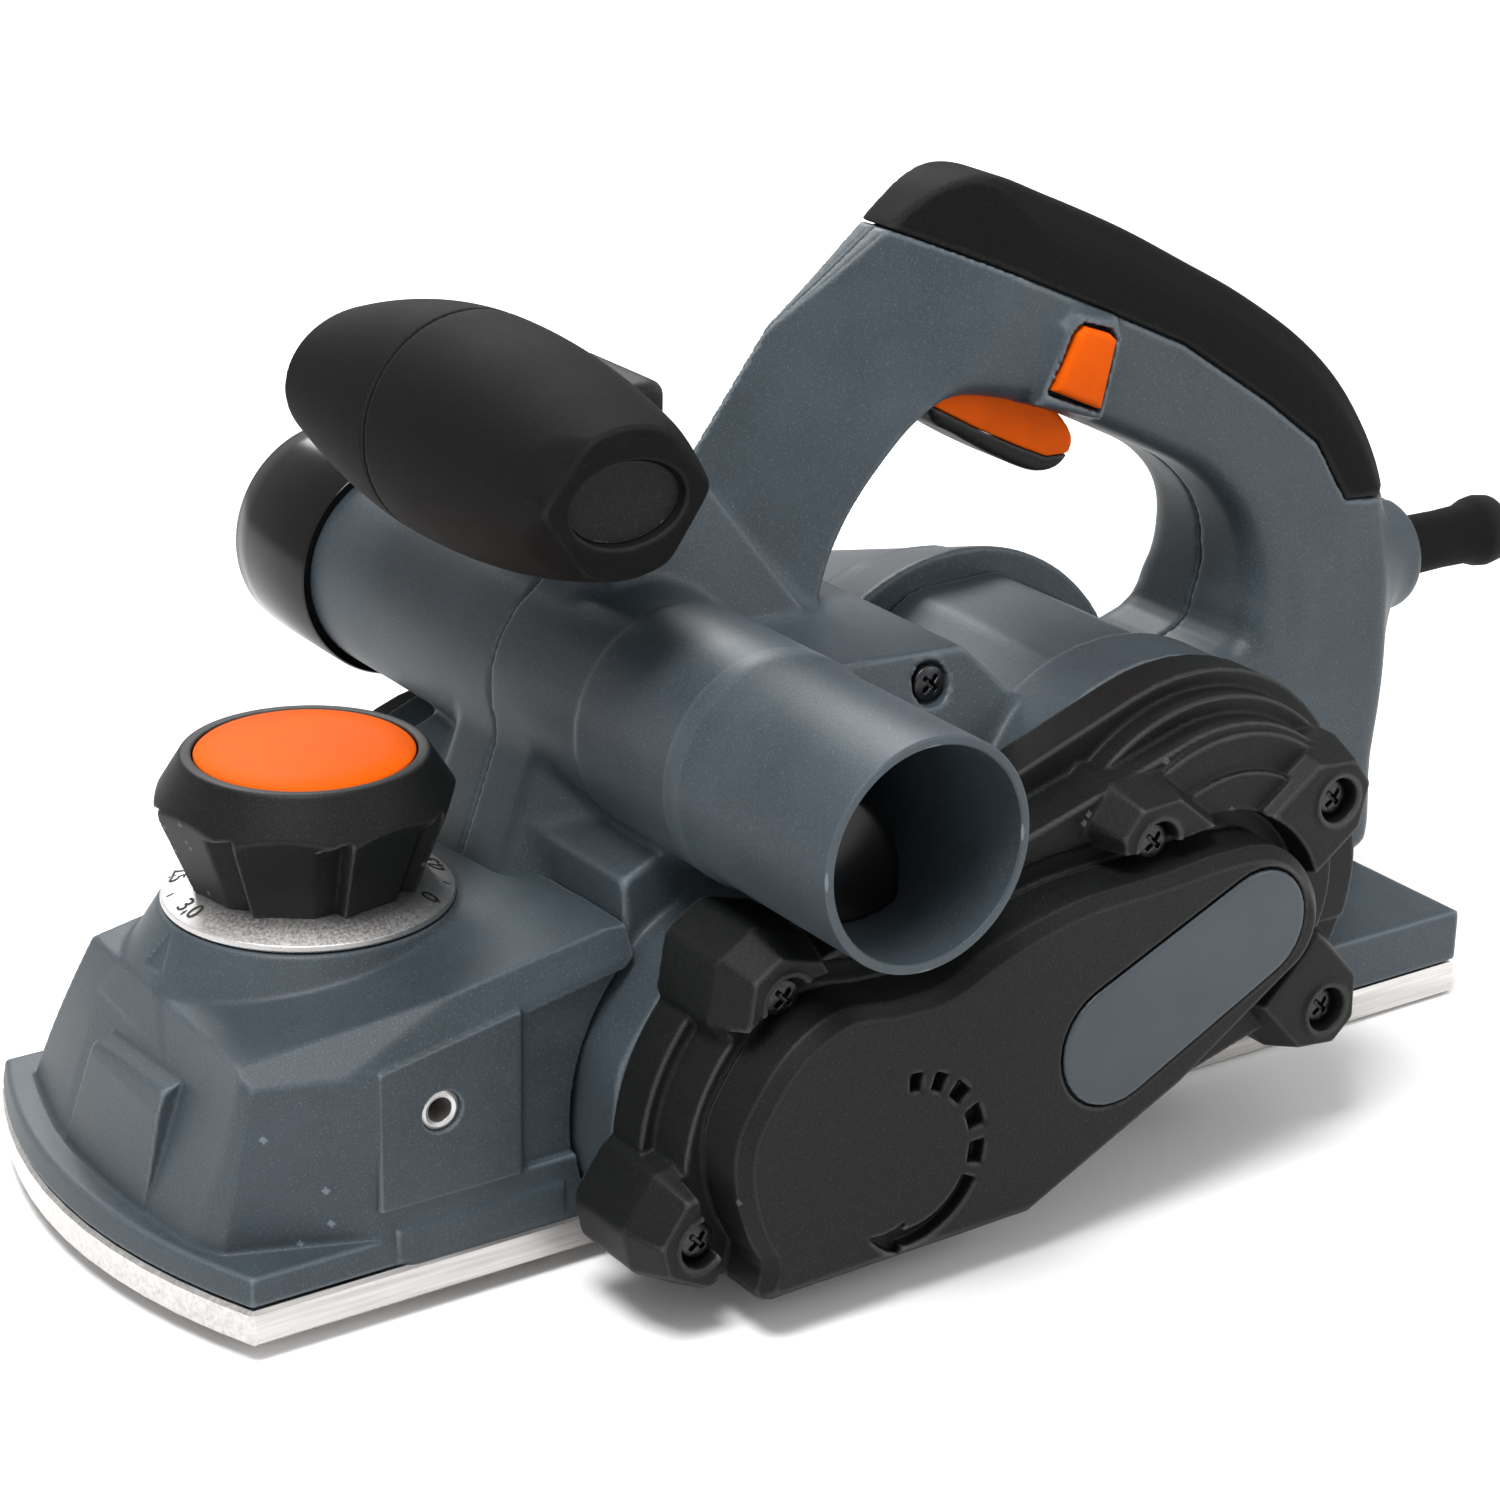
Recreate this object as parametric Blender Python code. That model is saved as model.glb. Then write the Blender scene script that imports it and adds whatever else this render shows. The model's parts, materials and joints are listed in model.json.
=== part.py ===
"""Electric hand planer, 110 mm cut: one named solid for each piece that comes apart on a bench.

Lengths below are millimetres and are turned into metres as each mesh is made.
X runs from the nose to the rear with 0 at the ends of the nose edge, Y runs across with the belt
drive on the -Y side, and Z is up with 0 at the rear sole.  The last step moves the origin to the
middle of the rear sole.
"""
import math

import bmesh
import bpy
from mathutils import Matrix, Vector

MM = 0.001
GAP = 0.3                      # clearance left between pieces that touch
FIT = 0.05                     # clearance of a shaft in its hub
ORIGIN_X = 230.0               # middle of the rear sole

# Soles
SOLE_HALF = 58.0               # half width of both soles
SOLE_END = 316.0               # rear edge of the rear sole
NOSE_BOW = 12.5                # how far the nose edge bows forward
SHOE_THICK = 7.7
DEPTH_RANGE = 3.0              # the front shoe rests this far above the rear sole
FRONT_SHOE_END = 92.0
NOSE_END = 86.6
REAR_SHOE_START = 144.0

# Cutter drum and its drive
DRUM_X, DRUM_Z = 119.5, 31.0
CUT_RADIUS = 31.0              # the blades reach the plane of the rear sole
DRUM_RADIUS = 28.5
DRUM_HALF = 55.0
MOTOR_X, MOTOR_Z = 208.5, 62.0
BELT_Y = -88.0                 # middle of the belt
BELT_WIDTH = 14.0
DRUM_PULLEY_R = 13.5
MOTOR_PULLEY_R = 10.0
DRIVE_SHAFT_R = 5.0

# Housing
BARREL_RADIUS = 44.0           # motor barrel, along Y
BARREL_WALL = 3.0
BARREL_END = 60.0
BELT_FACE = -69.0              # the plane the belt housing is screwed to
DECK_TOP = 21.0
TUBE_X, TUBE_Z = 111.0, 103.0  # dust tube, along Y
TUBE_RADIUS = 23.6
TUBE_WALL = 2.0
TUBE_NEAR, TUBE_FAR = -120.0, 108.5
CAP_START, CAP_END = 77.0, 112.0
HOUSING_HALF = 27.0            # half width of the neck and body
HANDLE_HALF = 17.5
GRIP_X, GRIP_Z = 86.0, 158.0   # front auxiliary grip, along Y
GRIP_NEAR, GRIP_FAR = -59.0, 44.0
GRIP_RADIUS = 22.5
RUBBER_THICK = 3.3             # rubber over the top of the handle
RUBBER_SIDE = 3.0              # rubber on the sides of the handle

# Depth knob
KNOB_X = 44.6
KNOB_TOP = 98.4
RING_Z = 67.5
RING_RADIUS = 30.0
SCREW_RADIUS = 4.0

# Belt-side covers
STEP_Y, RIM_Y = -80.0, -92.0
COVER_FACE = -106.0
FLOOR_Z = 9.0                  # flat bottom edge of the belt housing
FRONT_BOW_R = 46.0             # belt housing radius round the drum
REAR_BOW_R = 46.0              # belt housing radius round the motor
COVER_FRONT_R = 37.0
COVER_REAR_R = 17.5
LUGS = [(96.0, 68.0, -97.0), (77.0, 21.0, -97.0), (183.5, 82.5, -101.0), (234.0, 80.5, -99.0),
        (237.0, 31.0, -97.0)]  # x, z and face of each screw lug
LABEL_ENDS = ((171.0, 43.5, 13.5), (207.5, 60.5, 12.5))

# Trigger and lock button
TRIGGER_PIVOT = (197.0, 160.0)
LOCK_X, LOCK_Z = 226.0, 156.0
CORD_Z = 89.0
HOUSING_SCREW = (161.0, 106.0)  # the screw beside the dust tube
SHANK_RADIUS = 2.0             # every cover and housing screw
HEAD_RADIUS = 3.8

GREY = (0.055, 0.075, 0.095)
BLACK = (0.020, 0.021, 0.022)
ORANGE = (0.85, 0.14, 0.01)
STEEL = (0.45, 0.45, 0.46)


# ---------------------------------------------------------------- mesh helpers

def material(name, colour, roughness=0.5, metallic=0.0):
    """One Principled material, shared by every piece that asks for the same name."""
    mat = bpy.data.materials.get(name)
    if mat:
        return mat
    mat = bpy.data.materials.new(name)
    mat.use_nodes = True
    shader = mat.node_tree.nodes["Principled BSDF"]
    shader.inputs["Base Color"].default_value = (*colour, 1.0)
    shader.inputs["Roughness"].default_value = roughness
    shader.inputs["Metallic"].default_value = metallic
    return mat


def solid(name, verts, faces, mat=None):
    """Make a closed mesh object from millimetre points, with its faces turned outward."""
    mesh = bpy.data.meshes.new(name)
    mesh.from_pydata([Vector(v) * MM for v in verts], [], faces)
    bm = bmesh.new()
    bm.from_mesh(mesh)
    bmesh.ops.remove_doubles(bm, verts=bm.verts, dist=1e-6)
    bmesh.ops.recalc_face_normals(bm, faces=bm.faces)
    bm.to_mesh(mesh)
    bm.free()
    obj = bpy.data.objects.new(name, mesh)
    bpy.context.collection.objects.link(obj)
    if mat:
        mesh.materials.append(mat)
    return obj


def loft(name, rings, mat=None):
    """Join rings of equal point count with quads and close both ends."""
    count = len(rings[0])
    verts = [p for ring in rings for p in ring]
    faces = [tuple(range(count)), tuple(range(len(verts) - count, len(verts)))]
    for row in range(len(rings) - 1):
        for i in range(count):
            j = (i + 1) % count
            a, b = row * count, (row + 1) * count
            faces.append((a + i, a + j, b + j, b + i))
    return solid(name, verts, faces, mat)


def prism_y(name, outline, y0, y1, mat=None):
    """Extrude an outline of (x, z) points across the tool."""
    return loft(name, [[(x, y, z) for x, z in outline] for y in (y0, y1)], mat)


def prism_z(name, outline, z0, z1, mat=None):
    """Extrude an outline of (x, y) points upward."""
    return loft(name, [[(x, y, z) for x, y in outline] for z in (z0, z1)], mat)


def box(name, lo, hi, mat=None):
    """A block between two corners."""
    return prism_z(name, [(lo[0], lo[1]), (hi[0], lo[1]), (hi[0], hi[1]), (lo[0], hi[1])], lo[2], hi[2], mat)


def circle(cx, cy, radius, count=32, start=0.0, sweep=2 * math.pi):
    """Points of a circle, or of an arc that includes both its ends."""
    steps = count if sweep >= 2 * math.pi - 1e-6 else count - 1
    return [(cx + radius * math.cos(start + sweep * i / steps),
             cy + radius * math.sin(start + sweep * i / steps)) for i in range(count)]


def lathe(name, profile, centre, axis="Y", count=32, mat=None, start=0.0):
    """Turn (radius, distance) points round an axis; radius 0 closes the solid on the axis."""
    verts = []
    for radius, along in profile:
        for i in range(count):
            a = start + 2 * math.pi * i / count
            u, v = radius * math.cos(a), radius * math.sin(a)
            point = {"Y": (u, along, v), "Z": (u, v, along), "X": (along, u, v)}[axis]
            verts.append(tuple(c + p for c, p in zip(centre, point)))
    faces = []
    rows = len(profile)
    open_ends = profile[0][0] > 0 and profile[-1][0] > 0
    for row in range(rows if open_ends else rows - 1):
        nxt = (row + 1) % rows
        for i in range(count):
            j = (i + 1) % count
            faces.append((row * count + i, row * count + j, nxt * count + j, nxt * count + i))
    obj = solid(name, verts, faces, mat)
    bm = bmesh.new()
    bm.from_mesh(obj.data)
    bmesh.ops.dissolve_degenerate(bm, edges=bm.edges, dist=1e-7)
    bmesh.ops.recalc_face_normals(bm, faces=bm.faces)
    bm.to_mesh(obj.data)
    bm.free()
    return obj


def rod(name, radius, centre, a0, a1, axis="Y", count=24, mat=None, start=0.0):
    """A plain round bar between two distances along an axis."""
    return lathe(name, [(0, a0), (radius, a0), (radius, a1), (0, a1)], centre, axis, count, mat, start)


def ring(name, inner, outer, centre, a0, a1, axis="Y", count=24, mat=None):
    """A round washer or tube."""
    return lathe(name, [(inner, a0), (outer, a0), (outer, a1), (inner, a1)], centre, axis, count, mat)


def bake(obj):
    """Turn an object's modifiers into its mesh."""
    graph = bpy.context.evaluated_depsgraph_get()
    mesh = bpy.data.meshes.new_from_object(obj.evaluated_get(graph))
    obj.modifiers.clear()
    obj.data = mesh
    mesh.name = obj.name
    return obj


def combine(obj, others, operation):
    """Apply a boolean with each of the other solids and throw those away."""
    for other in others:
        mod = obj.modifiers.new(operation.lower(), "BOOLEAN")
        mod.operation = operation
        mod.solver = "EXACT"
        mod.object = other
        bpy.context.view_layer.update()
        bake(obj)
        bpy.data.objects.remove(other)
    return tidy(obj)


def cut(obj, *others):
    return combine(obj, others, "DIFFERENCE")


def add(obj, *others):
    return combine(obj, others, "UNION")


def keep(obj, other):
    return combine(obj, [other], "INTERSECT")


def copy_of(obj, name):
    twin = obj.copy()
    twin.data = obj.data.copy()
    twin.name = name
    bpy.context.collection.objects.link(twin)
    return twin


def tidy(obj):
    """Weld stray boolean points and merge faces that lie in one plane."""
    bm = bmesh.new()
    bm.from_mesh(obj.data)
    bmesh.ops.remove_doubles(bm, verts=bm.verts, dist=2e-5)
    bmesh.ops.dissolve_limit(bm, angle_limit=math.radians(0.5), verts=bm.verts, edges=bm.edges)
    bm.to_mesh(obj.data)
    bm.free()
    return obj


def bevel(obj, width, segments=2, angle=35.0):
    """Round the sharp edges."""
    mod = obj.modifiers.new("bevel", "BEVEL")
    mod.width = width * MM
    mod.segments = segments
    mod.limit_method = "ANGLE"
    mod.angle_limit = math.radians(angle)
    bpy.context.view_layer.update()
    return bake(obj)


# ---------------------------------------------------------------- shared outlines

def nose_plan(inset=0.0, rear=FRONT_SHOE_END):
    """Plan of the bowed nose, from its rear edge round the front and back."""
    half = SOLE_HALF - inset
    front = [(inset - NOSE_BOW * (1 - (y / SOLE_HALF) ** 2), y)
             for y in (half * (1 - i / 6) for i in range(13))]
    return [(rear, half)] + front + [(rear, -half)]


def handle_outline():
    """Side outline of the neck and closed handle, clockwise from the neck's front foot."""
    foot = DECK_TOP + GAP
    return [(90, 84), (96, 112), (104, 138), (121, 148), (121, 166), (144, 166.5), (168, 178.5), (188, 193),
            (196, 197.2), (203, 198), (222, 192), (246, 179), (270, 164), (292, 148), (308, 128), (318, 106),
            (322, 84), (320, 50), (317, foot), (262, foot), (252, 60), (160, 60), (130, 70)]


def finger_outline():
    """Finger opening of the closed handle."""
    return [(163, 112), (171, 130), (186, 148), (194, 154), (230, 139), (248, 130), (266, 122),
            (278, 108), (276, 94), (262, 84), (170, 84)]


def belt_outline(front_r, rear_r, floor):
    """Outline round the drum and motor axes with a flat bottom edge."""
    slope = math.atan2(MOTOR_Z - DRUM_Z, MOTOR_X - DRUM_X)
    rear = circle(MOTOR_X, MOTOR_Z, rear_r, 13, slope - math.pi / 2 + 0.15, math.pi - 0.15)
    half = math.asin((DRUM_Z - floor) / front_r)
    front = circle(DRUM_X, DRUM_Z, front_r, 13, slope + math.pi / 2 - 0.1, math.pi / 2 + 0.1 - slope + half)
    return rear + front + [(DRUM_X + 35, floor)]


# ---------------------------------------------------------------- soles and nose

def make_soles(alu):
    """Front shoe with its screw boss, and rear shoe with the cheeks that carry the drum."""
    shoe = prism_z("front_shoe", nose_plan(), DEPTH_RANGE, DEPTH_RANGE + SHOE_THICK, alu)
    bevel(shoe, 0.8, 1)
    centre = (KNOB_X, 0, 0)
    boss = rod("boss", 10, centre, 6, 34, "Z")
    posts = [rod("post", 4.5, (KNOB_X, side * 34, 0), 6, 30, "Z", 16) for side in (-1, 1)]
    add(shoe, boss, *posts)
    cut(shoe, rod("bore", SCREW_RADIUS + GAP, centre, 12, 50, "Z"))

    plate = box("rear_shoe", (REAR_SHOE_START, -SOLE_HALF, 0), (SOLE_END, SOLE_HALF, SHOE_THICK), alu)
    bevel(plate, 0.8, 1)
    flange = box("flange", (150, -66, 7), (176, 66, 12.5))
    cheeks = []
    for side in (-1, 1):
        outline = [(95, 14), (130, 8), (176, 8), (176, 14), (148, 40), (136, 56), (119, 60), (98, 50)]
        cheeks.append(prism_y("cheek", outline, side * 60.5, side * 66))
    add(plate, flange, *cheeks)
    cut(plate, rod("bore", 13 + GAP, (DRUM_X, 0, DRUM_Z), -80, 80, "Y", 32))


def deck_height(x, y):
    """Top of the nose body: rises to the rear and towards the belt side."""
    return 52.5 + 0.165 * x - 0.05 * y


def make_nose(grey):
    """Nose housing: skirt, sloped body, cone under the depth knob; open underneath."""
    end = NOSE_END
    skirt = prism_z("nose_housing", nose_plan(0.0, end), 11.3, 16.6, grey)
    lower = [(end, 54), (10, 54), (2, 40), (-4, 20), (-5, 0), (-4.5, -25), (-1.5, -44), (8, -54), (end, -54)]
    upper = [(end, 38), (26, 34), (11, 31), (7, 20), (4.5, 0), (3.5, -25), (3, -44), (12, -52), (end, -52)]
    body = loft("body", [[(x, y, 16.0) for x, y in lower], [(x, y, deck_height(x, y)) for x, y in upper]])
    cone = lathe("cone", [(0, 20), (40, 20), (36, 56), (RING_RADIUS - 0.6, RING_Z - 1.2), (0, RING_Z - 1.2)],
                 (KNOB_X, 0, 0), "Z", 32)
    add(skirt, body, cone)
    inner_low = [(95, 50), (12, 50), (6, 38), (0, 18), (-1, 0), (0, -25), (3, -42), (10, -50), (95, -50)]
    inner_up = [(95, 34), (28, 30), (15, 27), (11, 18), (9, 0), (8, -25), (8, -42), (14, -48), (95, -48)]
    hollow = loft("hollow", [[(x, y, 8.0) for x, y in inner_low],
                             [(x, y, deck_height(x, y) - 4.0) for x, y in inner_up]])
    cut(skirt, hollow, rod("screw hole", SCREW_RADIUS + GAP, (KNOB_X, 0, 0), 20, 90, "Z"))
    throat = rod("throat", FRONT_BOW_R + 1, (DRUM_X, 0, DRUM_Z), -90, 90, "Y", 48)
    cut(skirt, throat, rod("insert hole", 4.0 + GAP, (42, 0, 42.5), -70, -45, "Y", 20))


def make_knob(black, orange, silver, steel):
    """Depth knob with its disc, the numbered ring, the screw and the spring on it."""
    centre = (KNOB_X, 0, 0)
    knob = lathe("depth_knob", [(0, RING_Z + 3), (23.5, RING_Z + 3), (31, 88), (24.5, KNOB_TOP - 0.6),
                                (0, KNOB_TOP - 0.6)], centre, "Z", 12, black)
    cut(knob, rod("socket", SCREW_RADIUS + FIT, centre, RING_Z - 2, 86, "Z", 20),
        rod("recess", 22.5, centre, KNOB_TOP - 3.5, KNOB_TOP + 5, "Z", 32))
    lathe("depth_knob_cap", [(0, KNOB_TOP - 3.2), (22.2, KNOB_TOP - 3.2), (22.2, KNOB_TOP - 0.4),
                             (12, KNOB_TOP + 0.5), (0, KNOB_TOP + 0.8)], centre, "Z", 32, orange)
    lathe("depth_scale_ring", [(SCREW_RADIUS + FIT, RING_Z - 0.9), (RING_RADIUS, RING_Z - 0.9),
                               (RING_RADIUS - 0.4, RING_Z + 0.4), (24.5, RING_Z + 2.7),
                               (SCREW_RADIUS + FIT, RING_Z + 2.7)], centre, "Z", 32, silver)
    rod("depth_screw", SCREW_RADIUS, centre, 13, 85.7, "Z", 20, steel)
    spring_coil("depth_spring", centre, 7.0, 35.4, 54.8, steel)


def spring_coil(name, centre, radius, z0, z1, mat, turns=3, wire=1.0):
    """A compression spring: a six-sided wire swept round a helix."""
    rings = []
    steps = turns * 12
    for i in range(steps + 1):
        a = 2 * math.pi * i / 12
        out = Vector((math.cos(a), math.sin(a), 0))
        mid = Vector(centre) + out * radius + Vector((0, 0, z0 + (z1 - z0) * i / steps))
        rings.append([tuple(mid + out * wire * math.cos(b) + Vector((0, 0, wire * math.sin(b))))
                      for b in (math.pi * k / 3 for k in range(6))])
    return loft(name, rings, mat)


# ---------------------------------------------------------------- cutter and drive

def make_cutter(steel, dark):
    """Drum and shaft with two clamped blades on opposite sides, its bearings and its pulley."""
    axis = (DRUM_X, 0, DRUM_Z)
    drum = rod("cutter_drum", DRUM_RADIUS, axis, -DRUM_HALF, DRUM_HALF, "Y", 32, steel)
    add(drum, rod("shaft", DRIVE_SHAFT_R, axis, -97, 66, "Y", 20))
    for number, turn in ((1, 0), (2, 180)):
        slot = box("slot", (-4.6, -70, 14), (6.2, 70, 40))
        turn_about(slot, turn)
        cut(drum, slot)
        blade = box("blade_%d" % number, (-4.2, -55, 16), (-1.2, 55, CUT_RADIUS), steel)
        clamp = box("blade_clamp_%d" % number, (-0.9, -53.5, 16), (5.8, 53.5, 27.6), dark)
        bolts = []
        for row, y in enumerate((-36, 36), 1):
            cut(clamp, rod("bolt hole", 2.6, (2.6, y, 0), 10, 40, "Z", 12))
            bolts.append(rod("clamp_bolt_%d" % (row + 2 * (number - 1)), 2.3, (2.6, y, 0), 16, 28.4,
                             "Z", 12, steel))
        for obj in (blade, clamp, *bolts):
            turn_about(obj, turn)
    for name, y in (("drum_bearing_left", -66.0), ("drum_bearing_right", 59.0)):
        ring(name, DRIVE_SHAFT_R + FIT, 13, axis, y, y + 7, "Y", 28, steel)
    ring("drum_pulley", DRIVE_SHAFT_R + FIT, DRUM_PULLEY_R, axis, BELT_Y - 7.5, BELT_Y + 7.5, "Y", 28, dark)


def turn_about(obj, degrees):
    """Turn a piece made on the Y axis and carry it to the drum's axis."""
    move = Matrix.Translation(Vector((DRUM_X, 0, DRUM_Z)) * MM)
    obj.data.transform(move @ Matrix.Rotation(math.radians(degrees), 4, "Y"))


def make_motor(steel, dark, copper, brass, belt):
    """Armature on its shaft, the stator round it, bearings, brushes and the belt."""
    axis = (MOTOR_X, 0, MOTOR_Z)
    rod("armature_shaft", DRIVE_SHAFT_R, axis, -97, 56, "Y", 20, steel)
    ring("motor_pulley", DRIVE_SHAFT_R + FIT, MOTOR_PULLEY_R, axis, BELT_Y - 7.5, BELT_Y + 7.5, "Y", 28, dark)
    ring("armature_core", DRIVE_SHAFT_R + FIT, 21, axis, -26, 16, "Y", 28, copper)
    ring("commutator", DRIVE_SHAFT_R + FIT, 11, axis, 24, 38, "Y", 24, brass)
    fan = ring("cooling_fan", DRIVE_SHAFT_R + FIT, 12, axis, -44, -36, "Y", 24, dark)
    blades = [fan_blade(MOTOR_X, MOTOR_Z, 2 * math.pi * i / 10) for i in range(10)]
    add(fan, *blades)
    ring("field_stator", 22.5, 36.5, axis, -24, 14, "Y", 32, steel)
    for name, y in (("motor_bearing_left", -53.0), ("motor_bearing_right", 43.5)):
        ring(name, DRIVE_SHAFT_R + FIT, 11, axis, y, y + 7, "Y", 24, steel)
    for number, side in ((1, 1), (2, -1)):
        z0, z1 = sorted((MOTOR_Z + side * 11.4, MOTOR_Z + side * 26))
        box("carbon_brush_%d" % number, (MOTOR_X - 3, 28, z0), (MOTOR_X + 3, 34, z1), dark)
        z0, z1 = sorted((MOTOR_Z + side * 14, MOTOR_Z + side * 30))
        holder = box("brush_holder_%d" % number, (MOTOR_X - 5.5, 25.5, z0), (MOTOR_X + 5.5, 36.5, z1), brass)
        z2, z3 = sorted((MOTOR_Z + side * 8, MOTOR_Z + side * 27))
        cut(holder, box("slot", (MOTOR_X - 3.3, 27.7, z2), (MOTOR_X + 3.3, 34.3, z3)))
    make_belt(belt)


def fan_blade(cx, cz, angle):
    """One flat blade of the cooling fan, turned about the motor axis."""
    blade = box("fan blade", (10, -43.5, -0.8), (33, -36.5, 0.8))
    move = Matrix.Translation(Vector((cx, 0, cz)) * MM)
    blade.data.transform(move @ Matrix.Rotation(-angle, 4, "Y"))
    return blade


def make_belt(mat):
    """Closed belt loop that runs just clear of both pulleys."""
    def loop(extra):
        slope = math.atan2(MOTOR_Z - DRUM_Z, MOTOR_X - DRUM_X)
        rear = circle(MOTOR_X, MOTOR_Z, MOTOR_PULLEY_R + extra, 13, slope - math.pi / 2, math.pi)
        front = circle(DRUM_X, DRUM_Z, DRUM_PULLEY_R + extra, 13, slope + math.pi / 2, math.pi)
        return rear + front
    y0, y1 = BELT_Y - BELT_WIDTH / 2, BELT_Y + BELT_WIDTH / 2
    belt = prism_y("drive_belt", loop(2.3), y0, y1, mat)
    cut(belt, prism_y("inside", loop(GAP), y0 - 5, y1 + 5))


# ---------------------------------------------------------------- clamshell housing

def barrel_profile(grow):
    """Motor barrel from the belt side to its far end."""
    r = BARREL_RADIUS + grow
    return [(0, BELT_FACE - grow), (r, BELT_FACE - grow), (r, 20), (r - 5, 46), (r - 12, BARREL_END + grow),
            (0, BARREL_END + grow)]


def make_housing(grey, rubber):
    """Both halves of the clamshell, parted on the middle plane, and the rubber over the handle."""
    whole = prism_y("housing", handle_outline(), -HANDLE_HALF, HANDLE_HALF)
    bevel(whole, 6, 3, 40)
    cut(whole, bevel(prism_y("fingers", finger_outline(), -60, 60), 1.0, 1))
    make_rubber(whole, rubber)

    neck = [(87, 70.8), (91, 112), (101, 132), (122, 142), (142, 130), (156, 104), (168, 84), (168, 60),
            (100, 60)]
    body = bevel(prism_y("body", neck, -HOUSING_HALF, HOUSING_HALF), 5, 2, 40)
    block = [(87, 55), (87, 80), (140, 92), (176, 92), (250, 72), (262, 45), (262, DECK_TOP + GAP),
             (150, DECK_TOP + GAP)]
    middle = prism_y("middle", block, -56, 56)
    slope = [(120, 90), (150, 113), (170, 113), (186, 95), (186, 80), (120, 80)]
    shoulder = prism_y("shoulder", slope, -56, 40)
    barrel = lathe("barrel", barrel_profile(0), (MOTOR_X, 0, MOTOR_Z), "Y", 40)
    tube = rod("tube", TUBE_RADIUS, (TUBE_X, 0, TUBE_Z), TUBE_NEAR, TUBE_FAR, "Y", 36)
    boss = rod("drum boss", FRONT_BOW_R, (DRUM_X, 0, DRUM_Z), BELT_FACE, -BELT_FACE, "Y", 40)
    cut(boss, box("below", (60, -90, -30), (190, 90, 14.8)))
    cord_boss = lathe("cord boss", [(0, 300), (16, 300), (14, 334), (11, 340), (0, 340)],
                      (0, 0, CORD_Z), "X", 24)
    add(whole, body, middle, barrel, boss, tube, shoulder, cord_boss)
    hollow_out(whole)
    split_housing(whole, grey)


def hollow_out(whole):
    """Bores, bays and rooms inside the clamshell."""
    motor = (MOTOR_X, 0, MOTOR_Z)
    r = BARREL_RADIUS - BARREL_WALL
    cut(whole, rod("tube bore", TUBE_RADIUS - TUBE_WALL, (TUBE_X, 0, TUBE_Z), -140, 130, "Y", 36))
    cut(whole, lathe("motor bay", [(0, -46), (r, -46), (r, 16), (r - 5, 43), (0, 43)], motor, "Y", 40))
    cut(whole, rod("left seat", 11 + GAP, motor, -53.5, -40, "Y", 24))
    cut(whole, rod("shaft hole", DRIVE_SHAFT_R + 2, motor, -80, -50, "Y", 24))
    cut(whole, rod("right seat", 11 + GAP, motor, 40, 51, "Y", 24))
    cut(whole, rod("shaft end", DRIVE_SHAFT_R + 1, motor, 48, 57.5, "Y", 24))
    cut(whole, rod("drum chamber", CUT_RADIUS + 2.5, (DRUM_X, 0, DRUM_Z), -90, 90, "Y", 40))
    cheek = [(88, 5), (180, 5), (180, 16), (151, 42), (138, 58), (119, 62.5), (94, 53)]
    cut(whole, prism_y("left cheek room", cheek, -67, -59.5), prism_y("right cheek room", cheek, 59.5, 67))
    cut(whole, box("chip throat", (99, -30, 55), (123, 30, 90)))
    cut(whole, prism_y("handle room", switch_room(), -13.0, 13.0))
    cut(whole, prism_y("button bore", button_outline(GAP), -40, 0))
    cut(whole, rod("cord bore", 6.5, (0, 0, CORD_Z), 280, 350, "X", 24))
    shaft_x, shaft_z = HOUSING_SCREW
    cut(whole, rod("screw bore", SHANK_RADIUS + GAP, (shaft_x, 0, shaft_z), -70, -24, "Y", 16))
    cut(whole, rod("screw sink", HEAD_RADIUS + 0.8, (shaft_x, 0, shaft_z), -70, -50, "Y", 20))


def make_rubber(handle, rubber):
    """Rubber cap over the top of the handle, sat on a narrower core of the housing."""
    line = [(168, 188), (184, 187), (206, 179), (230, 168), (256, 156), (282, 139.5), (298, 127), (309, 113),
            (335, 113), (345, 220), (150, 220)]
    grip = copy_of(handle, "handle_grip")
    grip.data.materials.append(rubber)
    keep(grip, prism_y("band", line, -40, 40))
    cut(grip, core(RUBBER_THICK, HANDLE_HALF - RUBBER_SIDE, line, 20))
    cut(handle, prism_y("band", [(x, z - GAP) for x, z in line], -40, 40))
    add(handle, core(RUBBER_THICK + GAP, HANDLE_HALF - RUBBER_SIDE - GAP, line, 3))


def core(inset, half, line, drop):
    """Narrow inner part of the handle under the rubber, carried down past the rubber's edge line."""
    piece = prism_y("core", offset(handle_outline(), -inset), -half, half)
    lower = [(x, z - drop) for x, z in line]
    return keep(piece, prism_y("band", lower, -40, 40))


def offset(outline, distance):
    """Move a clockwise outline outward, or inward for a negative distance."""
    points = [Vector(p) for p in outline]
    moved = []
    for i, point in enumerate(points):
        before, after = point - points[i - 1], points[(i + 1) % len(points)] - point
        n1 = Vector((-before.y, before.x)).normalized()
        n2 = Vector((-after.y, after.x)).normalized()
        mid = (n1 + n2).normalized()
        moved.append(tuple(point + mid * distance / max(mid.dot(n1), 0.5)))
    return moved


def switch_room():
    """Space inside the handle for the trigger, open below, and for the switch above it."""
    return [(191.0, 172), (191.0, 140), (235.5, 121), (235.5, 145), (256, 143), (262, 150), (240, 166),
            (222, 176), (204, 178)]


def split_housing(whole, grey):
    """Part the clamshell on its middle plane into a left and a right half."""
    for name, low, high in (("housing_left", -200, -GAP / 2), ("housing_right", GAP / 2, 200)):
        half = copy_of(whole, name)
        keep(half, box("side", (-100, low, -100), (500, high, 400)))
        half.data.materials.clear()
        half.data.materials.append(grey)
    bpy.data.objects.remove(whole)


# ---------------------------------------------------------------- belt side and outer fittings

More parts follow.
